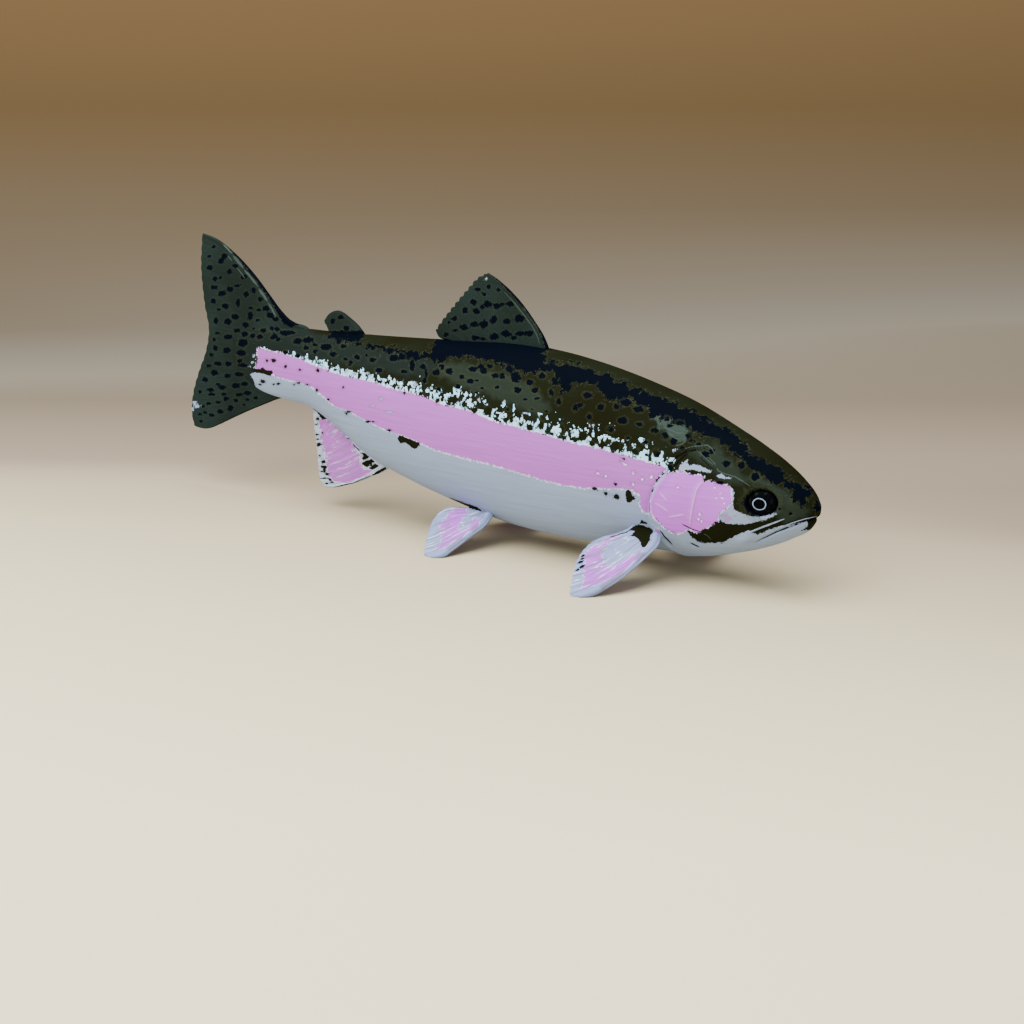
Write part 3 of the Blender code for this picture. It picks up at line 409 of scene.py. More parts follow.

# Round marks: a close-up, the plastic or the colour of a painted highlight, and (across, down, half width,
# half height) of each one
MARKS = [
    (HEAD, "navy", [
        (1035, 600, 128, 97), (775, 295, 28, 24), (890, 305, 27, 25), (995, 395, 32, 32),
        (615, 225, 30, 28), (665, 200, 20, 18), (375, 122, 32, 24), (480, 85, 22, 16), (515, 125, 20, 14),
        (565, 150, 22, 14), (228, 45, 30, 22), (305, 82, 24, 26), (438, 175, 20, 16), (155, 130, 16, 14),
        (1180, 645, 13, 11), (1268, 680, 16, 9), (725, 440, 24, 16), (240, 222, 26, 24), (352, 330, 16, 26)]),
    (FLANK, "navy", [
        (90, 310, 20, 18), (48, 355, 20, 18), (140, 345, 26, 24), (240, 385, 17, 16), (300, 420, 26, 18),
        (348, 415, 12, 9), (210, 460, 20, 20), (68, 480, 15, 15), (320, 330, 28, 20), (380, 310, 22, 18),
        (400, 345, 28, 20), (450, 308, 20, 14), (485, 378, 26, 18), (540, 380, 22, 20), (590, 330, 30, 22),
        (640, 388, 36, 40), (745, 428, 25, 22), (655, 485, 28, 22), (785, 488, 24, 18), (835, 380, 30, 20),
        (905, 505, 16, 20), (960, 570, 20, 24), (500, 465, 16, 10), (388, 470, 12, 9), (348, 505, 12, 8),
        (1085, 620, 18, 22), (1118, 600, 20, 14), (1175, 525, 30, 24), (1275, 612, 26, 22),
        (1190, 685, 18, 20), (1440, 712, 36, 24), (1350, 778, 20, 20), (1465, 580, 38, 26),
        (1390, 610, 18, 22), (1548, 630, 28, 22), (710, 555, 18, 10), (800, 548, 24, 9), (580, 632, 14, 9),
        (870, 645, 14, 8), (760, 632, 12, 7)]),
    (FLANK, "olive", [
        (172, 558, 42, 30), (330, 637, 24, 22), (432, 645, 30, 34), (255, 590, 18, 26), (55, 567, 16, 20),
        (745, 765, 28, 26), (830, 752, 20, 32), (608, 708, 16, 22), (1135, 832, 34, 34),
        (1210, 890, 20, 16), (1285, 895, 22, 28), (1372, 905, 32, 38), (1435, 942, 12, 11),
        (1525, 942, 20, 24), (1440, 1005, 18, 9), (988, 775, 12, 26), (682, 745, 15, 14),
        (1470, 880, 16, 34), (1000, 835, 16, 12), (905, 815, 14, 9), (1228, 1222, 20, 12),
        (1315, 1260, 14, 14), (1392, 1282, 20, 18), (1385, 1187, 12, 9)]),
    (FLANK, "white", [
        (555, 572, 8, 7), (710, 658, 20, 7), (820, 678, 7, 7), (1190, 755, 8, 7), (1220, 748, 9, 9),
        (365, 560, 9, 10), (1060, 798, 9, 9)]),
    # Painted highlights: small bright specks on the pink band
    (FLANK, "bright", [
        (1252, 1108, 8, 7), (1312, 1128, 8, 6), (1455, 1035, 9, 7), (1512, 1188, 8, 7), (1522, 1100, 8, 7)]),
    (NAPE, "navy", [
        (780, 582, 36, 26), (780, 700, 22, 15), (555, 742, 26, 18), (897, 755, 24, 20), (978, 790, 24, 24),
        (1052, 832, 30, 24), (1155, 790, 22, 16), (1195, 835, 20, 14), (1248, 860, 22, 14),
        (1115, 885, 20, 14), (1000, 660, 20, 18), (1018, 712, 24, 12), (1095, 690, 28, 20),
        (690, 805, 14, 12)]),
    (NAPE, "olive", [(745, 915, 24, 26), (910, 930, 26, 30), (590, 868, 32, 42), (650, 975, 18, 9)]),
    # Painted highlights: small bright specks on the pink band and the cheek
    (HEAD, "bright", [
        (65, 372, 8, 6), (130, 415, 8, 7), (205, 397, 8, 6), (55, 450, 7, 7), (70, 520, 9, 6),
        (405, 478, 8, 7), (570, 680, 7, 8), (560, 722, 9, 6), (585, 735, 6, 6), (700, 560, 7, 6),
        (735, 520, 7, 6), (760, 600, 7, 6), (690, 480, 7, 6), (740, 560, 7, 6)]),
    (HEAD, "pink", [
        (760, 690, 20, 12), (800, 715, 14, 8), (850, 690, 12, 8), (770, 735, 12, 6), (830, 650, 9, 8)]),
    (REAR, "navy", [
        (500, 272, 34, 22), (640, 330, 40, 26), (480, 335, 14, 10), (550, 360, 18, 14), (690, 385, 26, 20),
        (770, 325, 24, 14), (790, 425, 14, 10), (830, 445, 12, 12), (880, 410, 20, 18), (955, 395, 10, 8),
        (1000, 430, 24, 18), (1050, 510, 24, 18), (1245, 522, 24, 14), (1170, 415, 44, 26),
        (1228, 405, 24, 24), (1310, 470, 20, 44), (1395, 482, 22, 22), (1420, 540, 14, 30),
        (1500, 528, 28, 24), (1547, 490, 20, 16), (1410, 590, 14, 20), (405, 285, 26, 20),
        (350, 215, 40, 16), (60, 240, 22, 16), (150, 150, 20, 18), (230, 245, 24, 22), (70, 90, 24, 20),
        (300, 215, 26, 14), (820, 470, 12, 10), (210, 180, 16, 20), (320, 372, 20, 14), (410, 400, 24, 14)]),
    (REAR, "olive", [
        (172, 436, 10, 10), (226, 437, 14, 13), (315, 481, 12, 11), (430, 509, 10, 9), (572, 515, 14, 12),
        (770, 645, 8, 8), (420, 611, 14, 9), (490, 623, 9, 7), (566, 670, 10, 11), (652, 741, 11, 8),
        (142, 600, 18, 14), (117, 623, 14, 8), (260, 619, 12, 9), (225, 621, 7, 5), (385, 626, 7, 5),
        (1130, 984, 12, 8), (810, 838, 26, 8), (795, 850, 8, 12), (965, 915, 18, 9), (1005, 915, 14, 6),
        (1510, 750, 18, 18), (1380, 695, 16, 14), (1205, 650, 12, 10), (1250, 690, 12, 8),
        (1060, 602, 16, 10)]),
    (REAR, "white", [
        (450, 412, 8, 8), (570, 437, 9, 8), (605, 475, 9, 10), (735, 500, 8, 8), (795, 518, 10, 12),
        (852, 540, 12, 10), (962, 537, 10, 7), (985, 554, 10, 9), (70, 400, 8, 8), (55, 450, 9, 8),
        (40, 482, 8, 6), (1070, 738, 12, 9), (1000, 790, 14, 6), (1130, 840, 26, 8), (1333, 620, 14, 14),
        (1458, 650, 10, 8)]),
    (TAIL, "navy", [
        (245, 178, 14, 12), (212, 245, 11, 9), (318, 245, 20, 16), (295, 280, 20, 20), (213, 328, 20, 20),
        (357, 355, 18, 18), (250, 407, 18, 16), (290, 400, 13, 9), (400, 318, 22, 16), (458, 395, 22, 16),
        (245, 470, 24, 14), (300, 515, 26, 20), (360, 485, 24, 18), (415, 460, 16, 12), (478, 518, 20, 20),
        (530, 490, 18, 20), (240, 567, 16, 20), (325, 605, 26, 18), (418, 585, 15, 28), (578, 555, 18, 18),
        (280, 628, 13, 9), (512, 620, 14, 11), (567, 632, 15, 12), (400, 680, 28, 18), (505, 675, 20, 30),
        (258, 712, 17, 24), (345, 718, 28, 22), (650, 670, 28, 20), (620, 620, 24, 20), (470, 740, 24, 20),
        (410, 780, 24, 16), (465, 805, 26, 18), (600, 780, 24, 16), (268, 800, 18, 10), (345, 825, 28, 18),
        (245, 845, 12, 12), (450, 870, 34, 28), (575, 825, 20, 18), (668, 830, 20, 16), (255, 905, 17, 22),
        (338, 922, 26, 20), (440, 942, 34, 22), (225, 955, 14, 12), (275, 1018, 28, 16),
        (348, 1020, 24, 16), (430, 998, 20, 13), (455, 1032, 34, 13), (205, 1035, 14, 12),
        (248, 1085, 24, 22), (340, 1108, 22, 16), (425, 1095, 34, 16), (182, 1133, 20, 18),
        (305, 1190, 24, 17), (272, 1165, 16, 9), (400, 1178, 30, 18), (462, 1163, 24, 14),
        (145, 1222, 14, 10), (222, 1206, 20, 11), (228, 1240, 24, 10), (315, 1238, 16, 10),
        (330, 1270, 22, 14), (430, 1242, 26, 12), (482, 1230, 30, 15), (402, 1285, 16, 14),
        (545, 1265, 18, 12), (487, 1278, 15, 8), (275, 1297, 18, 10), (208, 1305, 18, 10),
        (165, 1328, 12, 10), (365, 1338, 20, 20), (290, 1362, 26, 14), (180, 1370, 14, 7),
        (142, 1383, 16, 10), (228, 1390, 20, 12), (150, 1432, 12, 10), (460, 1315, 12, 7),
        (560, 705, 14, 10), (530, 765, 9, 7), (520, 825, 9, 10), (705, 845, 18, 12), (845, 857, 28, 22),
        (918, 850, 40, 20), (908, 905, 18, 14), (970, 882, 16, 11), (970, 930, 16, 14), (1050, 900, 40, 24),
        (1105, 950, 20, 18), (760, 800, 28, 20), (690, 700, 16, 16), (700, 770, 18, 14)]),
    (TAIL, "white", [(105, 1298, 14, 11), (122, 1325, 18, 11), (80, 1348, 18, 11)]),
    (DORSAL, "navy", [
        (480, 185, 14, 14), (550, 210, 16, 13), (405, 205, 22, 14), (450, 240, 14, 12), (375, 297, 22, 22),
        (315, 350, 20, 22), (472, 310, 26, 22), (438, 332, 16, 12), (397, 360, 22, 18), (535, 322, 24, 20),
        (575, 312, 18, 12), (635, 305, 24, 22), (240, 410, 20, 16), (202, 438, 11, 9), (515, 415, 24, 26),
        (610, 430, 27, 20), (697, 408, 34, 28), (378, 450, 26, 22), (445, 450, 30, 26), (307, 472, 28, 22),
        (245, 492, 16, 12), (186, 520, 18, 14), (600, 515, 34, 24), (520, 535, 32, 24), (705, 515, 40, 18),
        (768, 512, 28, 20), (655, 545, 18, 14), (385, 545, 30, 18), (440, 552, 18, 12)]),
    (DORSAL, "white", [(465, 130, 9, 7)]),
    (ANAL, "olive", [
        (235, 376, 18, 18), (222, 620, 32, 14), (212, 465, 16, 10), (225, 690, 22, 9), (250, 778, 30, 26),
        (260, 950, 24, 14), (318, 1048, 30, 30), (318, 1125, 50, 24), (335, 1180, 24, 40),
        (300, 1200, 26, 12), (370, 1240, 40, 18), (340, 1308, 66, 9), (430, 1330, 24, 16),
        (460, 1372, 30, 14), (380, 1388, 30, 10), (720, 680, 30, 10), (300, 590, 10, 8)]),
    (REAR, "navy", [(750, 95, 22, 18), (689, 129, 20, 20), (795, 180, 22, 20)]),
]

# Nostrils, in the head's close-up
NOSTRILS = [(1180, 645), (1268, 680)]

# Painted or raised lines: a close-up, the plastic or the colour of painted light, half width at one
# or both ends, height in millimetres, and the path. Dark lines sunk into creases paint shade there,
# and pale lines on ridges of the head and fins paint highlights, as noted at each.
LINES = [
    (HEAD, "white", 6, 0.10, [(1218, 719), (1150, 745), (1050, 782), (960, 818), (900, 838)]),
    (HEAD, "white", 3, 0.14, [(1468, 699), (1380, 718), (1300, 742), (1230, 768), (1195, 790)]),
    # Painted shade in the sunken mouth slit
    (HEAD, "dark", (9, 2.5), -0.60, [(1480, 712), (1380, 736), (1330, 752), (1280, 770), (1220, 794),
                                     (1160, 818), (1100, 847), (1045, 873), (1000, 895)]),
    # Painted shade in sunken creases of the throat
    (HEAD, "dark", 5, -0.25, [(262, 795), (300, 850), (365, 916)]),
    (HEAD, "dark", 5, -0.20, [(498, 900), (530, 915), (570, 935)]),
    # Painted highlights along slightly raised ridges of the brow and nape
    (HEAD, "ridge_highlight", 4, 0.16, [(640, 245), (690, 300), (712, 350), (760, 372), (840, 395), (900, 430),
                              (955, 467)]),
    (HEAD, "ridge_highlight", 4, 0.14, [(420, 191), (520, 165), (631, 153), (665, 180), (688, 222)]),
    (HEAD, "ridge_highlight", 3, 0.12, [(525, 181), (575, 215), (620, 258), (665, 296), (708, 325)]),
    (HEAD, "ridge_highlight", 3, 0.10, [(330, 60), (372, 96), (410, 108)]),
    (HEAD, "ridge_highlight", 4, 0.10, [(300, 20), (350, 40), (405, 62), (452, 60)]),
    (HEAD, "ridge_highlight", 3, 0.08, [(385, 160), (432, 148), (470, 120)]),
    # Painted shade in shallow grooves between the brow's ridges
    (HEAD, "dark", 3, -0.10, [(440, 215), (530, 195), (600, 178), (640, 195)]),
    (HEAD, "dark", 3, -0.10, [(560, 235), (620, 290), (680, 345)]),
    (HEAD, "blush", 5, 0.0, [(1243, 776), (1320, 756), (1386, 746)]),
    # Painted shade in sunken creases near the top of the gill cover
    (HEAD, "dark", 6, -0.25, [(345, 300), (400, 240), (470, 205), (540, 190), (610, 192)]),
    (HEAD, "dark", 5, -0.20, [(350, 340), (400, 292), (450, 240), (500, 210)]),
    # Painted highlight along the raised ridge in the middle of the gill cover
    (HEAD, "blush", 6, 0.30, [(600, 428), (562, 465), (540, 510), (525, 570), (510, 640), (500, 700),
                              (495, 765)]),
    # Painted highlight along the gill cover's raised rim, white above and pale pink below
    (HEAD, "white", 8, 0.14, [(330, 352), (285, 400), (245, 455), (215, 515), (200, 560), (196, 600)]),
    (HEAD, "blush", 6, 0.12, [(196, 600), (195, 640), (205, 680), (228, 720), (262, 757)]),
    # Painted shadow in the groove behind the gill cover's rim
    (HEAD, "dark", 3, -0.30, [(322, 340), (268, 402), (228, 460), (204, 515), (189, 570), (186, 640),
                              (196, 690)]),
    (HEAD, "white", 6, 0.0, [(103, 763), (122, 759), (153, 763), (176, 769), (207, 788)]),
    # Painted highlights along small raised lines on the gill cover
    (HEAD, "blush", 3, 0.10, [(262, 512), (320, 578)]),
    (HEAD, "blush", 3, 0.10, [(225, 592), (280, 625), (330, 662)]),
    (HEAD, "blush", 4, 0.14, [(330, 702), (400, 693), (455, 682)]),
    # Painted shade in a shallow crease below the cheek
    (HEAD, "dark", 4, -0.12, [(430, 755), (520, 800), (600, 822)]),
    # Painted highlight along a slightly raised fold of the cheek
    (HEAD, "pale", 3, 0.08, [(590, 828), (630, 845), (662, 880)]),
    # Painted highlights along slightly raised lines inside the tail's upper leading edge, where its spine
    # meets the membrane
    (TAIL, "ridge_highlight", 6, 0.05, [(312, 160), (345, 195), (372, 228)]),
    (TAIL, "ridge_highlight", 9, 0.05, [(380, 240), (420, 286), (455, 330)]),
    (TAIL, "ridge_highlight", 7, 0.05, [(462, 345), (500, 385), (560, 462)]),
    (TAIL, "ridge_highlight", 9, 0.05, [(566, 480), (600, 525), (628, 570)]),
    (TAIL, "ridge_highlight", 6, 0.05, [(632, 580), (664, 628), (690, 680)]),
    (TAIL, "ridge_highlight", 3, 0.06, [(340, 240), (380, 285)]),
    (TAIL, "ridge_highlight", 3, 0.06, [(405, 322), (440, 366), (470, 410)]),
    # Painted highlight along a slightly raised line inside the dorsal fin's leading edge
    (DORSAL, "sheen_haze", 5, 0.08, [(590, 225), (660, 300), (740, 400), (790, 470), (825, 540), (838, 595)]),
    (ANAL, "dark", 9, 0.0, [(480, 440), (560, 500), (655, 590)]),
    (ANAL, "dark", 10, 0.0, [(770, 755), (830, 820), (900, 885)]),
    (ANAL, "dark", 8, 0.0, [(480, 1450), (660, 1405), (800, 1378), (900, 1330), (1060, 1268)]),
    (PECTORAL, "dark", 14, 0.0, [(262, 578), (320, 552)]),
    (PECTORAL, "dark", 12, 0.0, [(255, 615), (315, 597)]),
    (PECTORAL, "dark", 16, 0.0, [(215, 672), (305, 625)]),
    (PECTORAL, "dark", 20, 0.0, [(235, 740), (312, 698)]),
    (PECTORAL, "dark", 15, 0.0, [(185, 775), (248, 745)]),
    (PECTORAL, "dark", 8, 0.0, [(650, 312), (760, 282), (860, 245)]),
    (PECTORAL, "white", 9, 0.0, [(1068, 142), (1110, 128), (1160, 130), (1210, 155), (1262, 192)]),
]


def smooth_curve(points):
    """Return a smooth function through (place, value) pairs; it takes arrays."""
    places, values = np.array(sorted(points), float).T
    steps = np.diff(places)
    slopes = np.diff(values) / steps
    tangents = np.empty_like(values)
    tangents[1:-1] = (slopes[:-1] * steps[1:] + slopes[1:] * steps[:-1]) / (steps[1:] + steps[:-1])
    tangents[0] = slopes[0]
    tangents[-1] = slopes[-1]

    def value_at(place):
        place = np.asarray(place, float)
        i = np.clip(np.searchsorted(places, place) - 1, 0, len(steps) - 1)
        s = (place - places[i]) / steps[i]
        start = (1 + 2 * s) * (1 - s) ** 2 * values[i] + s * (1 - s) ** 2 * steps[i] * tangents[i]
        end = s * s * (3 - 2 * s) * values[i + 1] + s * s * (s - 1) * steps[i] * tangents[i + 1]
        return start + end

    return value_at


def smooth_path(points):
    """Return a function from 0..1 to points on a smooth line through the given ones."""
    rows = np.array(points, float)
    if len(rows) == 2:
        return lambda s: rows[0] + (rows[1] - rows[0]) * np.asarray(s, float)[..., None]
    lengths = np.linalg.norm(np.diff(rows, axis=0), axis=1)
    knots = np.concatenate([[0.0], np.cumsum(lengths)]) / lengths.sum()
    parts = [smooth_curve(list(zip(knots, rows[:, k]))) for k in range(rows.shape[1])]
    return lambda s: np.stack([part(s) for part in parts], axis=-1)


back_level = smooth_curve(BACK_LEVEL)
belly_level = smooth_curve(BELLY_LEVEL)
half_width = smooth_curve(HALF_WIDTH)
widest_level = smooth_curve(WIDEST_LEVEL)


def ease(low, high, value):
    """Rise smoothly from 0 at low to 1 at high."""
    s = np.clip((value - low) / (high - low), 0.0, 1.0)
    return s * s * (3 - 2 * s)


def swell(rise, fall, value):
    """Rise over one span of values and fall again over another."""
    return ease(*rise, value) * ease(*fall, value)


def skin_points(x, angle):
    """Points on the body at x and angle; 0 is the left side and a quarter turn is the back."""
    middle = widest_level(x)
    reach = np.where(np.sin(angle) > 0, back_level(x) - middle, middle - belly_level(x))
    across = np.sign(np.cos(angle)) * np.abs(np.cos(angle)) ** SECTION_POWER
    return np.stack([x, half_width(x) * across, middle + np.sin(angle) * reach], axis=-1)


def skin_side(x, z):
    """Distance of the skin from the midplane at x and level z."""
    middle = widest_level(x)
    reach = np.where(z > middle, back_level(x) - middle, middle - belly_level(x))
    share = np.minimum(1.0, np.abs(z - middle) / reach)
    return half_width(x) * (1 - share * share) ** (SECTION_POWER / 2)


def grid_directions(grid):
    """Outward direction at each point of the skin's grid."""
    along = np.gradient(grid, axis=0)
    around = np.roll(grid, -1, axis=1) - np.roll(grid, 1, axis=1)
    outward = np.cross(around, along)
    return outward / np.linalg.norm(outward, axis=2)[..., None]


def on_right(values):
    """Turn points or directions of the left side into their twins on the right."""
    return np.stack([values[:, 0], -np.abs(values[:, 1]), values[:, 2]], axis=-1)


def facing_camera(points, outward):
    """How far the skin, or its twin on the right side, faces the camera."""
    to_camera = CAMERA_AT - on_right(points)
    to_camera /= np.linalg.norm(to_camera, axis=1)[:, None]
    return (on_right(outward) * to_camera).sum(axis=1)


def seen(points):
    """Where points on the fish fall in the picture, in pixels, and the pixels to a millimetre.

    Points on the left side are read as their twins on the right, so both sides
    carry the same pattern.
    """
    offset = on_right(points) - CAMERA_AT
    depth = offset @ CAMERA_AHEAD
    across = PICTURE / 2 + FOCAL * (offset @ CAMERA_RIGHT) / depth
    down = PICTURE / 2 - FOCAL * (offset @ CAMERA_UP) / depth
    return np.stack([across, down], axis=-1), FOCAL / depth


def in_picture(view, points):
    """Turn one or more points read in a close-up into pixels of the whole picture."""
    left, top, zoom = view
    return np.array(points, float) / zoom + np.array((left, top))


def path_distance(spots, path):
    """Signed distance from a line, distance past its ends, share of its length, and plain distance."""
    best = np.full(len(spots), np.inf)
    across, past, share = np.zeros((3, len(spots)))
    lengths = np.linalg.norm(np.diff(path, axis=0), axis=1)
    done = 0.0
    for i, (start, length) in enumerate(zip(path[:-1], lengths)):
        along = (path[i + 1] - start) / length
        offset = spots - start
        t = offset @ along
        held = np.clip(t, 0.0, length)
        distance = np.linalg.norm(offset - held[:, None] * along, axis=1)
        near = distance < best
        best[near] = distance[near]
        across[near] = (offset[:, 0] * along[1] - offset[:, 1] * along[0])[near]
        share[near] = (done + held[near]) / lengths.sum()
        before = np.maximum(0.0, -t) if i == 0 else 0.0 * t
        after = np.maximum(0.0, t - length) if i == len(lengths) - 1 else 0.0 * t
        past[near] = np.maximum(before, after)[near]
        done += length
    return across, past, share, best


def outline_distance(spots, outline):
    """Distance inside a closed outline, negative outside it."""
    best = np.full(len(spots), np.inf)
    inside = np.zeros(len(spots), bool)
    x, y = spots.T
    for start, end in zip(outline, np.roll(outline, -1, axis=0)):
        along = end - start
        offset = spots - start
        t = np.clip(offset @ along / max(along @ along, TINY), 0.0, 1.0)
        best = np.minimum(best, np.linalg.norm(offset - t[:, None] * along, axis=1))
        crosses = (start[1] > y) != (end[1] > y)
        inside ^= crosses & (x < along[0] * (y - start[1]) / (along[1] or TINY) + start[0])
    return np.where(inside, best, -best)


def area_distance(spots, areas):
    """Distance inside the nearest of several outlined areas."""
    return np.max([outline_distance(spots, in_picture(view, outline)) for view, outline in areas], axis=0)


def width_along(half, share):
    """Half width of a line along its length, in the units of its close-up."""
    start, end = half if isinstance(half, tuple) else (half, half)
    return start + (end - start) * share


def tapered(share, least, gain):
    """Share of a line's full size along it, less towards both its ends."""
    return np.minimum(1.0, least + gain * np.minimum(share, 1 - share))


def line_height(spots):
    """Height that the raised and sunken lines give the skin, in millimetres."""
    height = np.zeros(len(spots))
    for view, _, half, rise, path in LINES:
        if rise:
            _, _, share, distance = path_distance(spots, in_picture(view, path))
            width = width_along(half, share) / view[2] * RELIEF_SPREAD
            height += rise * tapered(share, *RELIEF_TAPER) * np.exp(-(distance / width) ** 2)
    return height


def skin_relief(points, facing):
    """Height of the printed head details above the plain body."""
    spots, _ = seen(points)
    x, _, z = points.T
    shown = ease(*RELIEF_FACING, facing) * ease(*RELIEF_FROM, x)
    height = line_height(spots) * shown
    gill = smooth_path(GILL_EDGE)(np.linspace(0, 1, 60))
    across, _, _, distance = path_distance(points[:, [0, 2]], gill)
    ahead = np.where(across < 0, distance, -distance)
    cover = GILL_STEP * ease(*GILL_STEP_AT, ahead) * (1 - GILL_LOSS * ease(*GILL_LOSS_AT, ahead))
    rim = GILL_RIM * swell(*GILL_RIM_AT, ahead)
    groove = GILL_GROOVE * swell(*GILL_GROOVE_AT, ahead)
    height += (cover + rim - groove) * ease(*GILL_TOP, z) * ease(*GILL_FROM, x)
    eye = np.hypot((x - EYE_AT[0]) / SOCKET_RADII[0], (z - EYE_AT[1]) / SOCKET_RADII[1])
    height -= SOCKET_DEPTH * ease(*SOCKET_AT, eye)
    height += SOCKET_RIM * swell(*SOCKET_RIM_AT, eye)
    offset = (spots - in_picture(HEAD, JAW_BULGE_AT)) @ JAW_BULGE_TURN / JAW_BULGE_HALF
    height += JAW_BULGE * np.exp(-(offset ** 2).sum(axis=1)) * shown
    for nostril in NOSTRILS:
        offset = (spots - in_picture(HEAD, nostril)) / NOSTRIL_HALF
        height -= NOSTRIL_DEPTH * np.exp(-(offset ** 2).sum(axis=1)) * shown
    return height


def colour_of(context, word):
    """A plastic's colour by its short name, with its alpha."""
    return (*getattr(context.scene.trout_colours, word), 1.0)


def put_attribute(mesh, name, kind, values):
    """Store one value for each point of a mesh."""
    attribute = mesh.attributes.new(name, kind, "POINT")
    field = {"FLOAT": "value", "FLOAT_VECTOR": "vector", "FLOAT_COLOR": "color"}[kind]
    attribute.data.foreach_set(field, np.ascontiguousarray(values, np.float32).ravel())


def mesh_points(mesh):
    """The points of a mesh, in millimetres."""
    values = np.empty(len(mesh.vertices) * 3, np.float32)
    mesh.vertices.foreach_get("co", values)
    return values.reshape(-1, 3).astype(float) / MM


def round_marks(views, spots, scale):
    """Yield each round mark: its plastic, own coordinates, distance and depth in millimetres."""
    for view, word, marks in MARKS:
        if view in views:
            for across, down, *half in marks:
                half = np.array(half) / view[2]
                offset = (spots - in_picture(view, (across, down))) / half
                distance = np.linalg.norm(offset, axis=1)
                yield word, offset, distance, (1 - distance) * half.mean() / scale


def drawn_lines(views, spots):
    """Yield each line in the same form; outside its own width it has an even depth."""
    for view, word, half, _, path in LINES:
        if view in views:
            across, past, share, distance = path_distance(spots, in_picture(view, path))
            width = width_along(half, share) / view[2] * tapered(share, *LINE_TAPER)
            yield word, np.stack([across, past], axis=-1) / width[:, None], distance / width, 0 * width - 1


def store_nearest(context, mesh, name, drawn, hidden):
    """Store the nearest of several marks or lines at each point of a mesh.

    A mark keeps its own coordinates, so it stays sharp between the points of the mesh.
    With them go its number and the square of it, which no longer agree where a face
    touches two marks.
    """
    count = len(mesh.vertices)
    best = np.full(count, np.inf)
    inside = np.full(count, -FAR)
    local = np.tile((FAR, 0.0, 0.0), (count, 1))
    colour = np.zeros((count, 4))
    for number, (word, offset, distance, depth) in enumerate(drawn, 1):
        near = distance < best
        best[near] = distance[near]
        inside[near] = depth[near]
        local[near, :2] = offset[near]
        local[near, 2] = number
        colour[near] = colour_of(context, word)
    colour[:, 3] = local[:, 2] ** 2
    put_attribute(mesh, name, "FLOAT_VECTOR", local)
    put_attribute(mesh, name + "_inside", "FLOAT", inside - FAR * hidden)
    put_attribute(mesh, name + "_colour", "FLOAT_COLOR", colour)


def print_pattern(context, mesh, views, areas, hidden=0.0, under=None):
    """Store the printed pattern on a mesh, with its painted sheen, highlights and shade: the distance inside
    each area, the marks and the lines.

    Where the camera doesn't see the mesh, hidden is 1 and an area counts as far outside
    as the depth for it in under says.
    """
    spots, scale = seen(mesh_points(mesh))
    for name, outlines in areas.items():
        inside = area_distance(spots, outlines) / scale
        if name == "lace":
            from_pink = np.maximum(-area_distance(spots, PINK_AREAS[:1]) / scale, 0.0)
            inside = np.minimum(inside, LACE_DEPTH - LACE_FADE * from_pink)
        unseen = (under or {}).get(name, OUTSIDE)
        put_attribute(mesh, name, "FLOAT", inside + (unseen - inside) * hidden)
    store_nearest(context, mesh, "mark", round_marks(views, spots, scale), hidden)
    store_nearest(context, mesh, "line", drawn_lines(views, spots), hidden)


def grid_faces(rows, columns, first=0):
    """Faces of a grid of points, which are numbered row by row from first."""
    return [(a, a + 1, a + columns + 1, a + columns)
            for i in range(rows - 1) for a in range(first + i * columns, first + (i + 1) * columns - 1)]


def tube_faces(rows, around):
    """Faces of a tube of closed rings; the two points after the last ring close its ends."""
    last = (rows - 1) * around
    turns = [(k, (k + 1) % around) for k in range(around)]
    faces = [(row + k, row + after, row + after + around, row + k + around)
             for row in range(0, last, around) for k, after in turns]
    for k, after in turns:
        faces.append((k, after, last + around))
        faces.append((last + k, last + after, last + around + 1))
    return faces


def new_object(name, points, faces):
    """Make a smooth mesh object from points in millimetres."""
    mesh = bpy.data.meshes.new(name)
    mesh.from_pydata((np.asarray(points, float) * MM).tolist(), [], faces)
    mesh.polygons.foreach_set("use_smooth", [True] * len(mesh.polygons))
    made = bpy.data.objects.new(name, mesh)
    bpy.context.scene.collection.objects.link(made)
    return made


def close_up(thing):
    """Merge doubled points and turn every face of a closed mesh outwards."""
    shape = bmesh.new()
    shape.from_mesh(thing.data)
    bmesh.ops.remove_doubles(shape, verts=shape.verts, dist=MERGE * MM)
    bmesh.ops.recalc_face_normals(shape, faces=shape.faces)
    if shape.calc_volume(signed=True) < 0:
        bmesh.ops.reverse_faces(shape, faces=shape.faces)
    shape.to_mesh(thing.data)
    shape.free()


def feed(tree, node, inputs):
    """Give a node's sockets, by name or number, values or the outputs of other nodes."""
    for name, value in inputs.items():
        if isinstance(value, bpy.types.NodeSocket):
            tree.links.new(value, node.inputs[name])
        else:
            node.inputs[name].default_value = value


def add(tree, kind, inputs=None, **settings):
    """Add a node with its settings, and feed its sockets."""
    made = tree.nodes.new(kind)
    for name, value in settings.items():
        setattr(made, name, value)
    feed(tree, made, inputs or {})
    return made


def sums(tree, operation, *values, clamp=False):
    """Add a Math node and return its output."""
    made = add(tree, "ShaderNodeMath", dict(enumerate(values)), operation=operation, use_clamp=clamp)
    return made.outputs[0]


def blend_colour(tree, share, below, above, blend="MIX"):
    """Lay one colour over another and return the result."""
    made = add(tree, "ShaderNodeMix", {0: share, 6: below, 7: above}, data_type="RGBA", blend_type=blend)
    return made.outputs[2]


def noise(tree, place, scale, detail, roughness=0.5):
    """Noise over a place, mostly near one half."""
    return add(tree, "ShaderNodeTexNoise", {"Vector": place, "Scale": scale, "Detail": detail,
                                            "Roughness": roughness}).outputs[0]


def patches(tree, place, scale, detail, gain, offset, roughness=0.5):
    """Noise whose contrast is raised until it parts into patches of 0 and 1."""
    return sums(tree, "MULTIPLY_ADD", noise(tree, place, scale, detail, roughness), gain, offset, clamp=True)


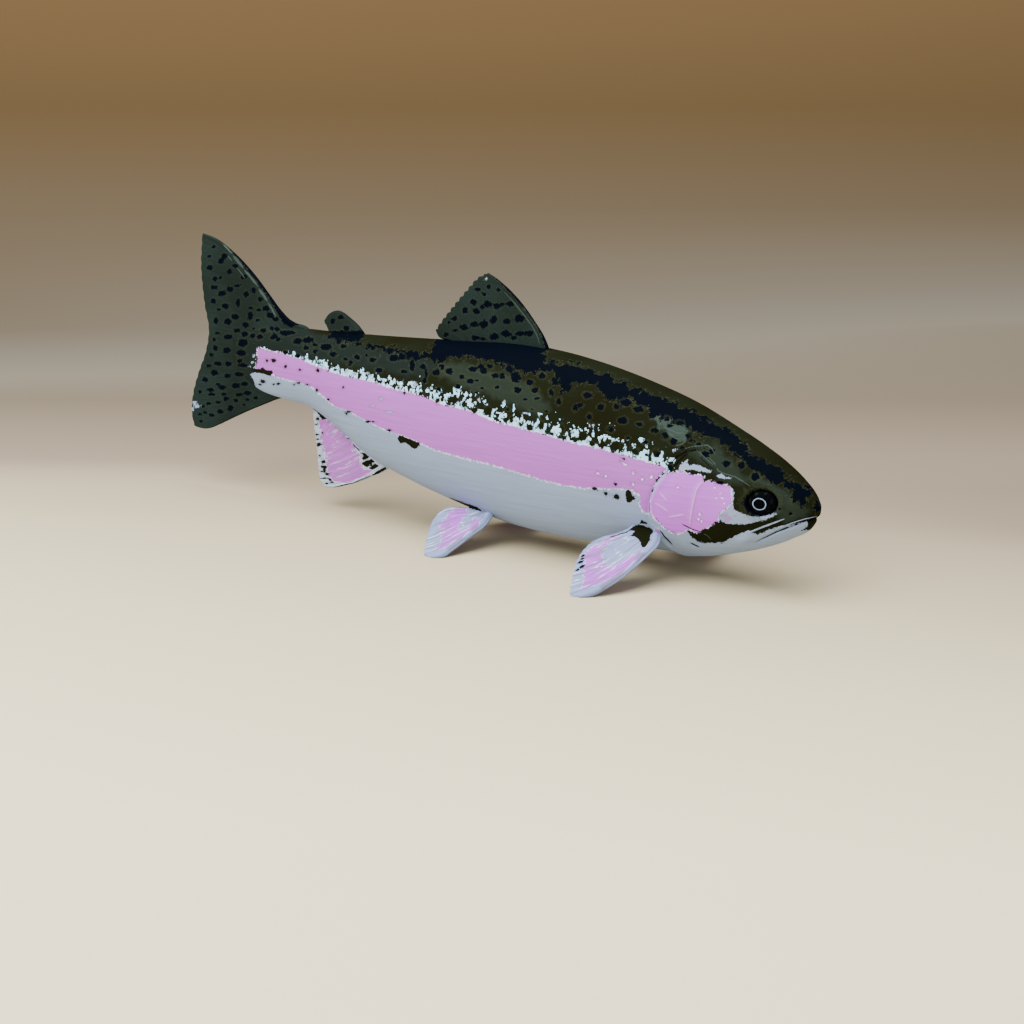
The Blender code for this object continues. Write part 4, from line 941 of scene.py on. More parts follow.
def read(tree, name, output):
    """Read a stored attribute in a material."""
    return add(tree, "ShaderNodeAttribute", attribute_name=name).outputs[output]


def stretched(tree, place, scale):
    """Stretch a place along its axes."""
    return add(tree, "ShaderNodeMapping", {"Vector": place, "Scale": scale}).outputs[0]


def object_place(tree):
    """The object's own coordinates."""
    return add(tree, "ShaderNodeTexCoord").outputs["Object"]


def layered_place(tree, pitch):
    """Object coordinates whose height moves in steps of one printed layer."""
    parts = add(tree, "ShaderNodeSeparateXYZ", {0: object_place(tree)})
    level = sums(tree, "SNAP", parts.outputs[2], pitch)
    return add(tree, "ShaderNodeCombineXYZ", {0: parts.outputs[0], 1: parts.outputs[1], 2: level}).outputs[0]


def shader_group(name, inputs, outputs):
    """Start a shader node group; inputs are numbers, or None for a vector, and outputs are numbers."""
    group = bpy.data.node_groups.new(name, "ShaderNodeTree")
    for word, value in inputs.items():
        kind = "NodeSocketVector" if value is None else "NodeSocketFloat"
        socket = group.interface.new_socket(word, in_out="INPUT", socket_type=kind)
        if value is not None:
            socket.default_value = value
    for word in outputs:
        group.interface.new_socket(word, in_out="OUTPUT", socket_type="NodeSocketFloat")
    return group, group.nodes.new("NodeGroupInput").outputs, group.nodes.new("NodeGroupOutput")


def place_group(tree, maker, inputs):
    """Put a shared group, which is made on its first use, into a material with its own values."""
    group = bpy.data.node_groups.get(maker.__name__) or maker()
    return add(tree, "ShaderNodeGroup", inputs, node_tree=group).outputs


def swing(group, place, scale, detail, most, amount):
    """How far an edge wanders: noise of a given size round zero."""
    away = sums(group, "SUBTRACT", noise(group, place, scale, detail, 0.6), 0.5)
    return sums(group, "MULTIPLY", sums(group, "MULTIPLY", away, most), amount)


def end_edge(group, end, inside, sharp, rim):
    """Put out an edge's mask, and its border just outside that."""
    mask = sums(group, "MULTIPLY_ADD", inside, sharp, 0.5, clamp=True)
    outer = sums(group, "MULTIPLY_ADD", sums(group, "ADD", inside, rim), sharp, 0.5, clamp=True)
    feed(group, end, {"Mask": mask, "Border": sums(group, "SUBTRACT", outer, mask, clamp=True)})


def ragged_edge():
    """Edge between two plastics: it wanders, breaks into specks, and has a thin rim outside."""
    group, start, end = shader_group(
        "ragged_edge",
        {"Inside": 0.0, "Place": None, "Scale": 1000.0, "Fine scale": 3000.0, "Ragged": 0.3, "Fine": 0.1,
         "Rim": 0.15, "Sharp": 14.0}, ("Mask", "Border"))
    inside = start["Inside"]
    for scale, amount in (("Scale", "Ragged"), ("Fine scale", "Fine")):
        wander = swing(group, start["Place"], start[scale], 1.5, 4.0, start[amount])
        inside = sums(group, "ADD", inside, wander)
    end_edge(group, end, inside, start["Sharp"], start["Rim"])
    return group


def printed_mark():
    """Round mark or line from its own coordinates: inside where they are less than one long."""
    group, start, end = shader_group(
        "printed_mark",
        {"Local": None, "Square": 0.0, "Inside": 0.0, "Ragged": 0.3, "Grain": 0.6, "Sharp": 5.0,
         "Layer": 0.0002}, ("Mask", "Border"))
    place = layered_place(group, start["Layer"])
    wander = swing(group, place, sums(group, "DIVIDE", 1 / MM, start["Grain"]), 2.0, 3.0, start["Ragged"])
    parts = add(group, "ShaderNodeSeparateXYZ", {0: start["Local"]}).outputs
    spread = sums(group, "SUBTRACT", start["Square"], sums(group, "MULTIPLY", parts[2], parts[2]))
    whole = sums(group, "LESS_THAN", spread, 0.2)
    flat = add(group, "ShaderNodeCombineXYZ", {0: parts[0], 1: parts[1]}).outputs[0]
    length = add(group, "ShaderNodeVectorMath", {0: flat}, operation="LENGTH").outputs["Value"]
    own = sums(group, "SUBTRACT", 1.0, length)
    own = sums(group, "ADD", own, sums(group, "MULTIPLY", sums(group, "SUBTRACT", whole, 1.0), FAR))
    inside = sums(group, "ADD", sums(group, "MAXIMUM", own, start["Inside"]), wander)
    end_edge(group, end, inside, start["Sharp"], MARK_RIM)
    return group


def layer_lines():
    """Fine lines of the print: a height for the bump and a slight change of tone."""
    group, start, end = shader_group("layer_lines", {"Layer": 0.0002, "Streaks": 0.5}, ("Height", "Tone"))
    place = object_place(group)
    level = add(group, "ShaderNodeSeparateXYZ", {0: place}).outputs[2]
    turn = sums(group, "DIVIDE", sums(group, "MULTIPLY", level, pi), start["Layer"])
    round_back = sums(group, "ABSOLUTE", sums(group, "SINE", turn))
    streak = sums(group, "SUBTRACT", noise(group, stretched(group, place, STROKES), 1.0, 2.0), 0.5)
    height = sums(group, "ADD", round_back, sums(group, "MULTIPLY", streak, start["Streaks"]))
    tone = sums(group, "MULTIPLY_ADD", streak, sums(group, "MULTIPLY", start["Streaks"], 0.6), 1.0)
    feed(group, end, {"Height": height, "Tone": tone})
    return group


def new_plastic(name):
    """Start a material with weak reflections, and return it with its tree and shader."""
    material = bpy.data.materials.new(name)
    material.use_nodes = True
    shader = material.node_tree.nodes["Principled BSDF"]
    shader.inputs["Specular IOR Level"].default_value = PLASTIC_GLOSS
    return material, material.node_tree, shader


def ray_streaks(context, tree, rayed, word, other):
    """Two plastics that alternate in streaks along the fin rays."""
    share = patches(tree, rayed, 1.3, 2.0, 16.0, -9.5, 0.6)
    return blend_colour(tree, share, colour_of(context, word), colour_of(context, other))


def bright_ridges(tree, strength):
    """Painted highlights: thin wavy lines along the fin rays, away from the leading edge."""
    along = read(tree, "ray", "Vector")
    wave = noise(tree, stretched(tree, along, RIDGES), 1.0, 0.5)
    away = sums(tree, "ABSOLUTE", sums(tree, "SUBTRACT", wave, 0.5))
    line = sums(tree, "MULTIPLY_ADD", away, -70.0, 1.15, clamp=True)
    behind = add(tree, "ShaderNodeSeparateXYZ", {0: along}).outputs[1]
    inner = sums(tree, "MULTIPLY_ADD", behind, 14.0, -1.8, clamp=True)
    return sums(tree, "MULTIPLY", sums(tree, "MULTIPLY", line, inner), strength)


def printed_plastic(context, name, base, layers, ray_shading=0.0, halo=0.22):
    """Plastic printed in several colours.

    base is two tones of the ground colour. Each layer is an attribute, a colour, the
    size of its edge's wandering in millimetres or None where it runs along the fin
    rays, more values of the edge, and the colour and strength of its rim and how far it
    breaks into specks; a rim in the bright colour paints highlights on those specks.
    Along the fin rays a strength paints shade in the grooves and highlights on the rays.
    """
    sizes = context.scene.trout_sizes
    material, tree, shader = new_plastic(name)
    place = object_place(tree)
    stepped = layered_place(tree, sizes.layer_height)
    rayed = stretched(tree, read(tree, "ray", "Vector"), STREAKS)
    share = patches(tree, place, 70.0, 2.0, 4.0, -1.5)
    colour = blend_colour(tree, share, colour_of(context, base[0]), colour_of(context, base[1]))
    for attribute, word, grain, edge_values, rim in layers:
        values = {"Place": rayed, "Scale": 1.0, "Fine scale": 3.0}
        if grain:
            values = {"Place": stepped, "Scale": 1 / (grain * MM), "Fine scale": 3.2 / MM}
        edge = place_group(tree, ragged_edge,
                           {"Inside": read(tree, attribute, "Fac"), **values, **edge_values})
        # A rim in the bright colour paints highlights on specks along the edge
        if rim:
            rim_word, strength, broken = rim
            specks = patches(tree, stepped, 1.6 / MM, 1.0, 10.0 * broken, 1 - 5.3 * broken)
            border = sums(tree, "MULTIPLY", sums(tree, "MULTIPLY", edge["Border"], strength), specks)
            colour = blend_colour(tree, border, colour, colour_of(context, rim_word))
        above = colour_of(context, word) if grain else ray_streaks(context, tree, rayed, word, base[0])
        colour = blend_colour(tree, edge["Mask"], colour, above)
        if not grain:
            # Painted shade between the fin rays, and painted highlights along them
            groove = sums(tree, "MULTIPLY", patches(tree, rayed, 1.7, 1.0, 14.0, -7.4), ray_shading)
            colour = blend_colour(tree, groove, colour, colour_of(context, "groove"))
            colour = blend_colour(tree, bright_ridges(tree, ray_shading), colour, colour_of(context, "bright"))
    for kind, values in (("mark", {"Ragged": 0.5, "Grain": 0.55, "Sharp": 6.0}),
                         ("line", {"Ragged": 0.4, "Grain": 0.5, "Sharp": 1.6})):
        mark = place_group(tree, printed_mark, {
            "Local": read(tree, kind, "Vector"), "Square": read(tree, kind + "_colour", "Alpha"),
            "Inside": read(tree, kind + "_inside", "Fac"), "Layer": sizes.layer_height, **values})
        if kind == "mark":
            border = sums(tree, "MULTIPLY", mark["Border"], halo)
            colour = blend_colour(tree, border, colour, colour_of(context, "pale"))
        colour = blend_colour(tree, mark["Mask"], colour, read(tree, kind + "_colour", "Color"))
    lines = place_group(tree, layer_lines, {"Layer": sizes.layer_height, "Streaks": 0.5})
    tone = add(tree, "ShaderNodeCombineColor", dict.fromkeys(range(3), lines["Tone"])).outputs[0]
    rough = sums(tree, "MULTIPLY_ADD", noise(tree, place, 900.0, 3.0), 0.16, 0.42)
    bump = add(tree, "ShaderNodeBump", {"Strength": 0.5, "Distance": sizes.layer_depth,
                                        "Height": lines["Height"]})
    feed(tree, shader, {"Base Color": blend_colour(tree, 1.0, colour, tone, "MULTIPLY"),
                        "Roughness": rough, "Normal": bump.outputs[0]})
    return material


def dark_plastic(context):
    """Green plastic with navy spots for the dark fins."""
    return printed_plastic(
        context, "dark_fin_plastic", ("fin", "fin_cloud"),
        [("navy", "navy", 0.8, {"Ragged": 0.2, "Fine": 0.3}, ("pale", 0.4, 0.5))], halo=0.1)


def pale_plastic(context, name, white, pink, groove):
    """White plastic with a streaked pink middle, painted shade in the grooves and painted highlights along
    the rays, and an olive root.
    """
    return printed_plastic(
        context, name, (white, white),
        [("pink", pink, None, {"Ragged": 0.75, "Fine": 0.25, "Rim": 0.14}, ("bright", 0.7, 0.3)),
         ("patch", "olive", 0.5, {"Ragged": 0.08, "Fine": 0.08}, None)], ray_shading=groove)


def eye_plastic(context):
    """Near black plastic with one fine pale ring and grey green flecks round it."""
    sizes = context.scene.trout_sizes
    material, tree, shader = new_plastic("eye_plastic")
    offset = add(tree, "ShaderNodeVectorMath", {0: read(tree, "eye", "Vector"), 1: EYE_RING_OFFSET},
                 operation="SUBTRACT").outputs[0]
    radius = add(tree, "ShaderNodeVectorMath", {0: offset}, operation="LENGTH").outputs["Value"]
    place = layered_place(tree, sizes.layer_height)
    wander = sums(tree, "MULTIPLY_ADD", noise(tree, place, 1600.0, 2.0), 0.06, -0.03)
    away = sums(tree, "ABSOLUTE", sums(tree, "SUBTRACT", sums(tree, "ADD", radius, wander), EYE_RING))
    ring = sums(tree, "MULTIPLY_ADD", sums(tree, "SUBTRACT", EYE_RING_HALF, away), 30.0, 0.5, clamp=True)
    outer = sums(tree, "MULTIPLY", sums(tree, "SUBTRACT", radius, EYE_RING + 0.1), 5.0, clamp=True)
    fleck = sums(tree, "MULTIPLY", patches(tree, place, 1300.0, 2.0, 9.0, -5.0), outer)
    fleck = sums(tree, "MULTIPLY", fleck, 0.5)
    colour = blend_colour(tree, fleck, colour_of(context, "eye"), colour_of(context, "mist"))
    colour = blend_colour(tree, ring, colour, colour_of(context, "white"))
    lines = place_group(tree, layer_lines, {"Layer": sizes.layer_height, "Streaks": 0.5})
    bump = add(tree, "ShaderNodeBump", {"Strength": 0.4, "Distance": sizes.layer_depth * 0.5,
                                        "Height": lines["Height"]})
    rough = sums(tree, "MULTIPLY_ADD", lines["Height"], 0.05, 0.35)
    feed(tree, shader, {"Base Color": colour, "Roughness": rough, "Normal": bump.outputs[0]})
    return material


def floor_paper(context):
    """Paper whose tones paint the light's falloff: pale in front, darker under and behind the fish, and brown
    up the shaded backdrop.
    """
    material, tree, shader = new_plastic("paper_painted_falloff")
    start = FLOOR_FALLOFF[0][0]
    run = sums(tree, "DIVIDE", sums(tree, "SUBTRACT", read(tree, "run", "Fac"), start), FLOOR_RUN)
    ramp = add(tree, "ShaderNodeValToRGB", {0: run})
    stops = ramp.color_ramp.elements
    while len(stops) < len(FLOOR_FALLOFF):
        stops.new(1.0)
    for stop, (place, word) in zip(stops, FLOOR_FALLOFF):
        stop.position = (place - start) / FLOOR_RUN
        stop.color = colour_of(context, word)
    rough = sums(tree, "MULTIPLY_ADD", noise(tree, object_place(tree), 300.0, 3.0), 0.2, 0.6)
    feed(tree, shader, {"Base Color": ramp.outputs[0], "Roughness": rough})
    return material


def finish_piece(piece, material, nodes):
    """Give a piece its material, hang it on the root, and hide the imported parts that it stands in for."""
    piece.data.materials.clear()
    piece.data.materials.append(material)
    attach(piece, "root")
    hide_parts(*nodes)


def root_line(level, span, sink):
    """The root of a median fin, sunk into the back or the belly."""
    x = np.linspace(span[0], span[1], 9)
    return list(zip(x, level(x) + sink))


def fin_surface(base, lead, margin, trail):
    """Return P(s, t) over a fin: s from root to margin, t from its leading to its trailing edge."""
    root = smooth_path(base)
    edge = smooth_path(margin)
    front = smooth_path([base[0], *lead, margin[0]])
    rear = smooth_path([base[-1], *trail, margin[-1]])

    def bend(line, s):
        return line(s) - (line(0.0) + (line(1.0) - line(0.0)) * s[..., None])

    def position(s, t):
        s = np.asarray(s, float)
        t = np.asarray(t, float)
        straight = root(t) + (edge(t) - root(t)) * s[..., None]
        return straight + bend(front, s) * (1 - t[..., None]) + bend(rear, s) * t[..., None]

    return position


def upright(points, heights):
    """Place points of a median fin, which stands in the midplane."""
    return np.stack([points[:, 0], heights, points[:, 1]], axis=-1)


def paired_plane(origin, rear, tip, side):
    """Return a place function for a paired fin's plane, mirrored for the right side."""
    start = np.array(origin)
    along = np.array(rear) - start
    along /= np.linalg.norm(along)
    normal = np.cross(along, np.array(tip) - start)
    normal /= np.linalg.norm(normal)
    out = np.cross(normal, along)
    out *= np.sign(out @ (np.array(tip) - start))

    def place(points, heights):
        spots = start + points[:, :1] * along + points[:, 1:2] * out + heights[:, None] * normal
        spots[:, 1] *= side
        return spots

    return place


def edge_lines(count, rounding, both):
    """Shares from 0 to 1 with lines crowded where a free edge is rounded."""
    crowd = rounding * (1 - np.sin(np.linspace(0.2, 1.0, EDGE_LINES) * pi / 2))
    start = rounding if both else 0.0
    lines = np.concatenate([np.linspace(start, 1 - rounding, count), 1 - crowd])
    return np.concatenate([crowd[::-1], lines]) if both else lines


def fin_membrane(name, surface, place, half, rays, wave):
    """Membrane of a fin: a plate with rounded free edges and a margin scalloped between its rays."""
    reach = np.linalg.norm(surface(1.0, 0.5) - surface(0.0, 0.5))
    span = np.linalg.norm(surface(0.7, 1.0) - surface(0.7, 0.0))
    s_lines = edge_lines(int(reach / FIN_GRID), half[1] / reach, False)
    t_lines = edge_lines(int(span / FIN_GRID), half[1] / span, True)
    s, t = np.meshgrid(s_lines, t_lines, indexing="ij")
    flat = surface(s, t)
    outward = flat - surface(s - 0.05, t)
    outward /= np.linalg.norm(outward, axis=2)[..., None]
    scallop = np.abs(np.sin(pi * (rays + RAY_SHARE) * t)) - SCALLOP_LEVEL
    flat = (flat + outward * (wave * scallop * s ** SCALLOP_POWER)[..., None]).reshape(-1, 2)
    across = np.linalg.norm(surface(s, np.ones_like(t)) - surface(s, np.zeros_like(t)), axis=2)
    distance = np.minimum((1 - s) * reach, np.minimum(t, 1 - t) * across)
    thickness = half[0] + (half[1] - half[0]) * s
    thickness = thickness * np.sqrt(1 - (1 - np.clip(distance / thickness, 0.0, 1.0)) ** 2)
    thickness = thickness.ravel()
    rows, columns = s.shape
    faces = [(a, d, c, b) for a, b, c, d in grid_faces(rows, columns)]
    faces += grid_faces(rows, columns, s.size)
    faces += [(k, k + 1, s.size + k + 1, s.size + k) for k in range(columns - 1)]
    made = new_object(name, np.concatenate([place(flat, thickness), place(flat, -thickness)]), faces)
    shares = np.stack([s, t, 0 * s], axis=-1).reshape(-1, 3)
    put_attribute(made.data, "ray", "FLOAT_VECTOR", np.concatenate([shares, shares]))
    close_up(made)
    return made


def ray_lines(surface, rays, spine):
    """Guide lines of a fin as shares and radii: the leading spine, then rays that fork once."""
    middle_half = 0.5 * sum(RAY_HALF)
    lines = []
    if spine:
        s = np.linspace(0.0, SPINE_END, SPINE_POINTS)
        chord = np.linalg.norm(surface(s, 0 * s + 1) - surface(s, 0 * s), axis=1)
        lines.append((s, (spine[0] + (spine[1] - spine[0]) * s) / chord, spine))
    for k in range(1, rays + 1):
        middle = k / (rays + RAY_SHARE)
        lines.append((np.linspace(0.0, FORK, RAY_POINTS), np.full(RAY_POINTS, middle),
                      (RAY_HALF[0], middle_half)))
        for turn in (-1, 1):
            branch = np.linspace(FORK, RAY_END, BRANCH_POINTS)
            spread = turn * FORK_SPREAD / rays * ease(FORK, FORK_DONE, branch)
            lines.append((branch, middle + spread, (middle_half, RAY_HALF[1])))
    return lines


def add_rays(context, fin, surface, place, lines, material):
    """Grow the rays of a fin from guide lines with Geometry Nodes and join them to its membrane."""
    membrane = fin.data
    shape = bmesh.new()
    shape.from_mesh(membrane)
    rays = shape.verts.layers.float_vector["ray"]
    radius = shape.verts.layers.float.new("thick")
    for s, t, half in lines:
        points = place(surface(s, t), 0 * s) * MM
        thick = (half[0] + (half[1] - half[0]) * np.linspace(0, 1, len(s))) * MM
        for i, point in enumerate(points):
            vert = shape.verts.new(point)
            vert[rays] = (s[i], t[i], 0.0)
            vert[radius] = thick[i]
            if i:
                shape.edges.new((before, vert))
            before = vert
    shape.to_mesh(membrane)
    shape.free()
    modifier = fin.modifiers.new("rays", "NODES")
    modifier.node_group = bpy.data.node_groups.get("fin_rays") or fin_rays()
    values = {"Ray width": context.scene.trout_sizes.ray_width, "Sides": RAY_SIDES, "Plastic": material}
    for item in modifier.node_group.interface.items_tree:
        if item.in_out == "INPUT" and item.name in values:
            modifier[item.identifier] = values[item.name]
    graph = context.evaluated_depsgraph_get()
    graph.update()
    whole = bpy.data.meshes.new_from_object(fin.evaluated_get(graph))
    fin.modifiers.clear()
    fin.data = whole
    whole.name = fin.name
    bpy.data.meshes.remove(membrane)


def fin_rays():
    """Round rays along the loose guide lines of a fin, joined to its membrane."""
    tree = bpy.data.node_groups.new("fin_rays", "GeometryNodeTree")
    sockets = tree.interface
    sockets.new_socket("Fin", in_out="INPUT", socket_type="NodeSocketGeometry")
    sockets.new_socket("Ray width", in_out="INPUT", socket_type="NodeSocketFloat").default_value = 1.0
    sockets.new_socket("Sides", in_out="INPUT", socket_type="NodeSocketInt").default_value = RAY_SIDES
    sockets.new_socket("Plastic", in_out="INPUT", socket_type="NodeSocketMaterial")
    sockets.new_socket("Fin", in_out="OUTPUT", socket_type="NodeSocketGeometry")
    start = tree.nodes.new("NodeGroupInput").outputs
    thick = add(tree, "GeometryNodeInputNamedAttribute", {"Name": "thick"}, data_type="FLOAT").outputs[0]
    guide = add(tree, "FunctionNodeCompare", {0: thick, 1: 1e-6}, data_type="FLOAT",
                operation="GREATER_THAN").outputs[0]
    curve = add(tree, "GeometryNodeMeshToCurve", {"Mesh": start["Fin"], "Selection": guide})
    profile = add(tree, "GeometryNodeCurvePrimitiveCircle", {"Resolution": start["Sides"], "Radius": 1.0})
    tubes = add(tree, "GeometryNodeCurveToMesh", {
        "Curve": curve.outputs[0], "Profile Curve": profile.outputs[0],
        "Scale": sums(tree, "MULTIPLY", thick, start["Ray width"]), "Fill Caps": True})
    sheet = add(tree, "GeometryNodeDeleteGeometry", {"Geometry": start["Fin"], "Selection": guide},
                domain="POINT")
    joined = tree.nodes.new("GeometryNodeJoinGeometry")
    for part in (tubes, sheet):
        tree.links.new(part.outputs[0], joined.inputs[0])
    smooth = add(tree, "GeometryNodeSetShadeSmooth", {"Geometry": joined.outputs[0]})
    real = add(tree, "GeometryNodeRealizeInstances", {"Geometry": smooth.outputs[0]})
    coated = add(tree, "GeometryNodeSetMaterial", {"Geometry": real.outputs[0], "Material": start["Plastic"]})
    feed(tree, tree.nodes.new("NodeGroupOutput"), {0: coated.outputs[0]})
    return tree


def hold_in_box(mesh):
    """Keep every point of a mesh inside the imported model's box."""
    points = np.clip(mesh_points(mesh) * MM, *np.array(cad_box))
    mesh.vertices.foreach_set("co", points.astype(np.float32).ravel())
    mesh.update()


def build_fin(context, name, node, outline, place, rays, spine, wave, view, areas, material,
              half=MEMBRANE_HALF):
    """Make one fin: membrane, rays, pattern, plastic, and its place in the frame.

    rays counts its rays, spine is the radius of its leading edge from root to tip, wave
    is the depth of its margin's scallops, and half is the half thickness from root to
    margin. areas gives the outlines of each layer, read in the close-up view.
    """
    surface = fin_surface(*outline)
    made = fin_membrane(name, surface, place, half, rays, wave)
    add_rays(context, made, surface, place, ray_lines(surface, rays, spine), material)
    hold_in_box(made.data)
    in_view = {word: [(view, shape) for shape in shapes] for word, shapes in areas.items()}
    print_pattern(context, made.data, (view,), in_view)
    finish_piece(made, material, [node])


class TroutSizes(bpy.types.PropertyGroup):
    """Sizes of the printed details."""

    layer_height: bpy.props.FloatProperty(
        name="Layer height", description="Thickness of one printed layer", default=0.00025,
        min=0.00005, max=0.001, precision=5, unit="LENGTH")
    layer_depth: bpy.props.FloatProperty(
        name="Layer depth", description="Depth of the groove between printed layers", default=0.00003,
        min=0.0, max=0.0002, precision=6, unit="LENGTH")
    relief: bpy.props.FloatProperty(
        name="Relief", description="How far the head's ridges and creases stand out", default=1.0,
        min=0.0, max=2.0, subtype="FACTOR")
    ray_width: bpy.props.FloatProperty(
        name="Ray width", description="Scale of the raised rays in the fins", default=1.0,
        min=0.2, max=2.0, subtype="FACTOR")


def plastic(name, description, *colour):
    """A colour that the user may change."""
    return bpy.props.FloatVectorProperty(name=name, description=description, default=colour, size=3,
                                         subtype="COLOR", min=0.0, max=1.0)


class TroutColours(bpy.types.PropertyGroup):
    """Colours of the plastics and the paper, and of the painted sheen, highlights and shade."""

    olive: plastic("Olive", "Plastic of the back", 0.0080, 0.0088, 0.0034)
    moss: plastic("Moss", "Cooler tone that clouds the olive", 0.0095, 0.0128, 0.0063)
    # Painted sheen: grey green laid over the olive of the upper back, snout, gill top and brow where they
    # catch the light; the eyes' flecks take it too
    mist: plastic("Mist", "Grey green that clouds the nape and the snout", 0.0170, 0.0250, 0.0185)
    # Painted sheen on the nape, and a painted highlight along the dorsal fin's leading edge
    sheen_haze: plastic("Haze", "Pale grey green of the nape", 0.032, 0.050, 0.045)
    navy: plastic("Navy", "Plastic of the spots and the back's band", 0.0012, 0.0025, 0.006)
    pink: plastic("Pink", "Plastic of the side band", 0.405, 0.123, 0.54)
    rose: plastic("Rose", "Plastic of the gill covers", 0.51, 0.139, 0.755)
    # Painted highlights along the gill cover's raised lines; it also prints the pink line inside the upper
    # lip
    blush: plastic("Blush", "Pale pink of raised lines", 0.66, 0.38, 0.82)
    white: plastic("White", "Plastic of the belly and the jaw", 0.238, 0.308, 0.465)
    pale: plastic("Pale olive", "Thin borders round the navy areas", 0.042, 0.050, 0.026)
    # Painted highlights along the ridges of the brow and nape and inside the tail's leading edge
    ridge_highlight: plastic("Frost", "Grey line along the tail's upper edge", 0.045, 0.070, 0.066)
    # Painted shade in the head's sunken creases, the mouth slit and the groove behind the gill cover's rim;
    # the same colour prints dark dashes on the anal and paired fins
    dark: plastic("Dark", "Deep creases", 0.003, 0.003, 0.003)
    lace: plastic("Lace", "White lace over the pink band", 0.39, 0.71, 1.0)
    # Painted highlights on small specks along the pink's edges, and on thin lines along the pale fins' rays
    bright: plastic("Bright", "Small specks where two plastics meet", 0.66, 0.69, 0.96)
    eye: plastic("Eye", "Dark plastic of the eyes", 0.0015, 0.002, 0.003)
    fin: plastic("Fin", "Plastic of the dark fins", 0.0100, 0.0160, 0.0140)
    fin_cloud: plastic("Fin cloud", "Paler tone that clouds the dark fins", 0.0135, 0.0240, 0.0225)
    fin_pink: plastic("Fin pink", "Pink of the paired fins", 0.47, 0.105, 0.70)
    fin_milk: plastic("Fin white", "White of the paired fins", 0.225, 0.30, 0.52)
    milk: plastic("Milk", "White of the anal fin", 0.38, 0.46, 0.62)
    groove: plastic("Groove", "Shade between the fin rays", 0.19, 0.18, 0.30)
    # The paper tones paint the light's falloff, from pale in front to darker under and behind the fish and up
    # the backdrop
    paper: plastic("Paper", "Floor before the fish", 0.87, 0.80, 0.57)
    paper_front: plastic("Paper front", "Floor just before the fish", 0.72, 0.655, 0.455)
    paper_mid: plastic("Paper middle", "Floor under the fish", 0.535, 0.472, 0.325)
    paper_near: plastic("Paper near", "Floor close behind the fish", 0.410, 0.347, 0.252)
    paper_dim: plastic("Paper dim", "Floor just behind the fish", 0.305, 0.250, 0.192)
    paper_far: plastic("Paper far", "Floor well behind the fish", 0.190, 0.160, 0.121)
    paper_glow: plastic("Paper glow", "Floor just before the paler band", 0.208, 0.190, 0.150)
    paper_band: plastic("Paper band", "Paler band across the backdrop's foot", 0.180, 0.163, 0.132)
    paper_low: plastic("Paper low", "Foot of the backdrop", 0.120, 0.093, 0.060)
    paper_top: plastic("Paper top", "Upper backdrop", 0.108, 0.072, 0.034)
    paper_high: plastic("Paper high", "Top of the backdrop", 0.138, 0.088, 0.041)


class TROUT_OT_skin(bpy.types.Operator):
    """Lay one closed skin over head, trunk and tail stalk, with its relief, printed pattern and painted
    sheen, highlights and shade
    """

    bl_idname = "trout.skin"
    bl_label = "Skin"

    def execute(self, context):
        places = [np.linspace(start, end, count, endpoint=False) for start, end, count in SKIN_STEPS]
        places = np.concatenate([*places, [SKIN_STEPS[-1][1]]])
        angles = np.linspace(0, 2 * pi, SKIN_AROUND, endpoint=False)
        grid = skin_points(*np.meshgrid(places, angles, indexing="ij"))
        outward = grid_directions(grid).reshape(-1, 3)
        flat = grid.reshape(-1, 3)
        facing = facing_camera(flat, outward)
        height = skin_relief(flat, facing) * context.scene.trout_sizes.relief
        ends = [(WEDGE_END, 0.0, widest_level(WEDGE_END)), (SNOUT, 0.0, SNOUT_LEVEL)]
        points = np.concatenate([flat + outward * height[:, None], ends])
        made = new_object("trout_skin", points, tube_faces(len(places), SKIN_AROUND))
        close_up(made)
        hidden = ease(*HIDDEN_FACING, np.concatenate([facing, [-1.0, 1.0]]))
        under = {"white": OUTSIDE * (1 - 2 * ease(*WHITE_UNDER, points[:, 0]))}
        # Of these, the moss and mist areas mark painted sheen on the upper back and head
        print_pattern(context, made.data, (HEAD, NAPE, FLANK, REAR, TAIL), {
            "moss": SHEEN_AREAS, "mist": NAPE_SHEEN_AREAS, "stalk": STALK_AREAS, "navy": NAVY_AREAS,
            "white": WHITE_AREAS, "lace": LACE_AREAS, "pink": PINK_AREAS + THROAT_AREAS,
            "cheek": PINK_AREAS[1:], "patch": OLIVE_AREAS}, hidden, under)
        material = printed_plastic(context, "printed_skin", ("olive", "moss"), [
            # The first two layers paint sheen in grey green, paler over the nape; the bright specks on the
            # pink band's rim are painted highlights
            ("moss", "mist", 2.5, {"Ragged": 0.8, "Fine": 0.15, "Sharp": 0.8}, None),
            ("mist", "sheen_haze", 1.6, {"Ragged": 1.0, "Fine": 0.3, "Sharp": 1.6}, None),
            ("stalk", "fin", 2.0, {"Ragged": 0.8, "Fine": 0.15, "Sharp": 0.9}, None),
            ("navy", "navy", 1.5, {"Ragged": 0.9, "Fine": 0.5}, ("pale", 0.8, 0.4)),
            ("lace", "lace", 1.3, {"Ragged": 1.5, "Fine": 0.9, "Fine scale": 1500.0}, None),
            ("white", "white", 0.8, {"Ragged": 0.1, "Fine": 0.2}, None),
            ("pink", "pink", 0.8, {"Ragged": 0.1, "Fine": 0.25, "Rim": 0.22}, ("bright", 0.9, 1.0)),
            ("cheek", "rose", 0.8, {"Ragged": 0.1, "Fine": 0.25}, None),
            ("patch", "olive", 0.6, {"Ragged": 0.08, "Fine": 0.12}, None)])
        finish_piece(made, material, ["head", "lower_jaw", "gill_cover_left", "gill_cover_right", "torso",
                                      "tail_stalk"])
        return {"FINISHED"}


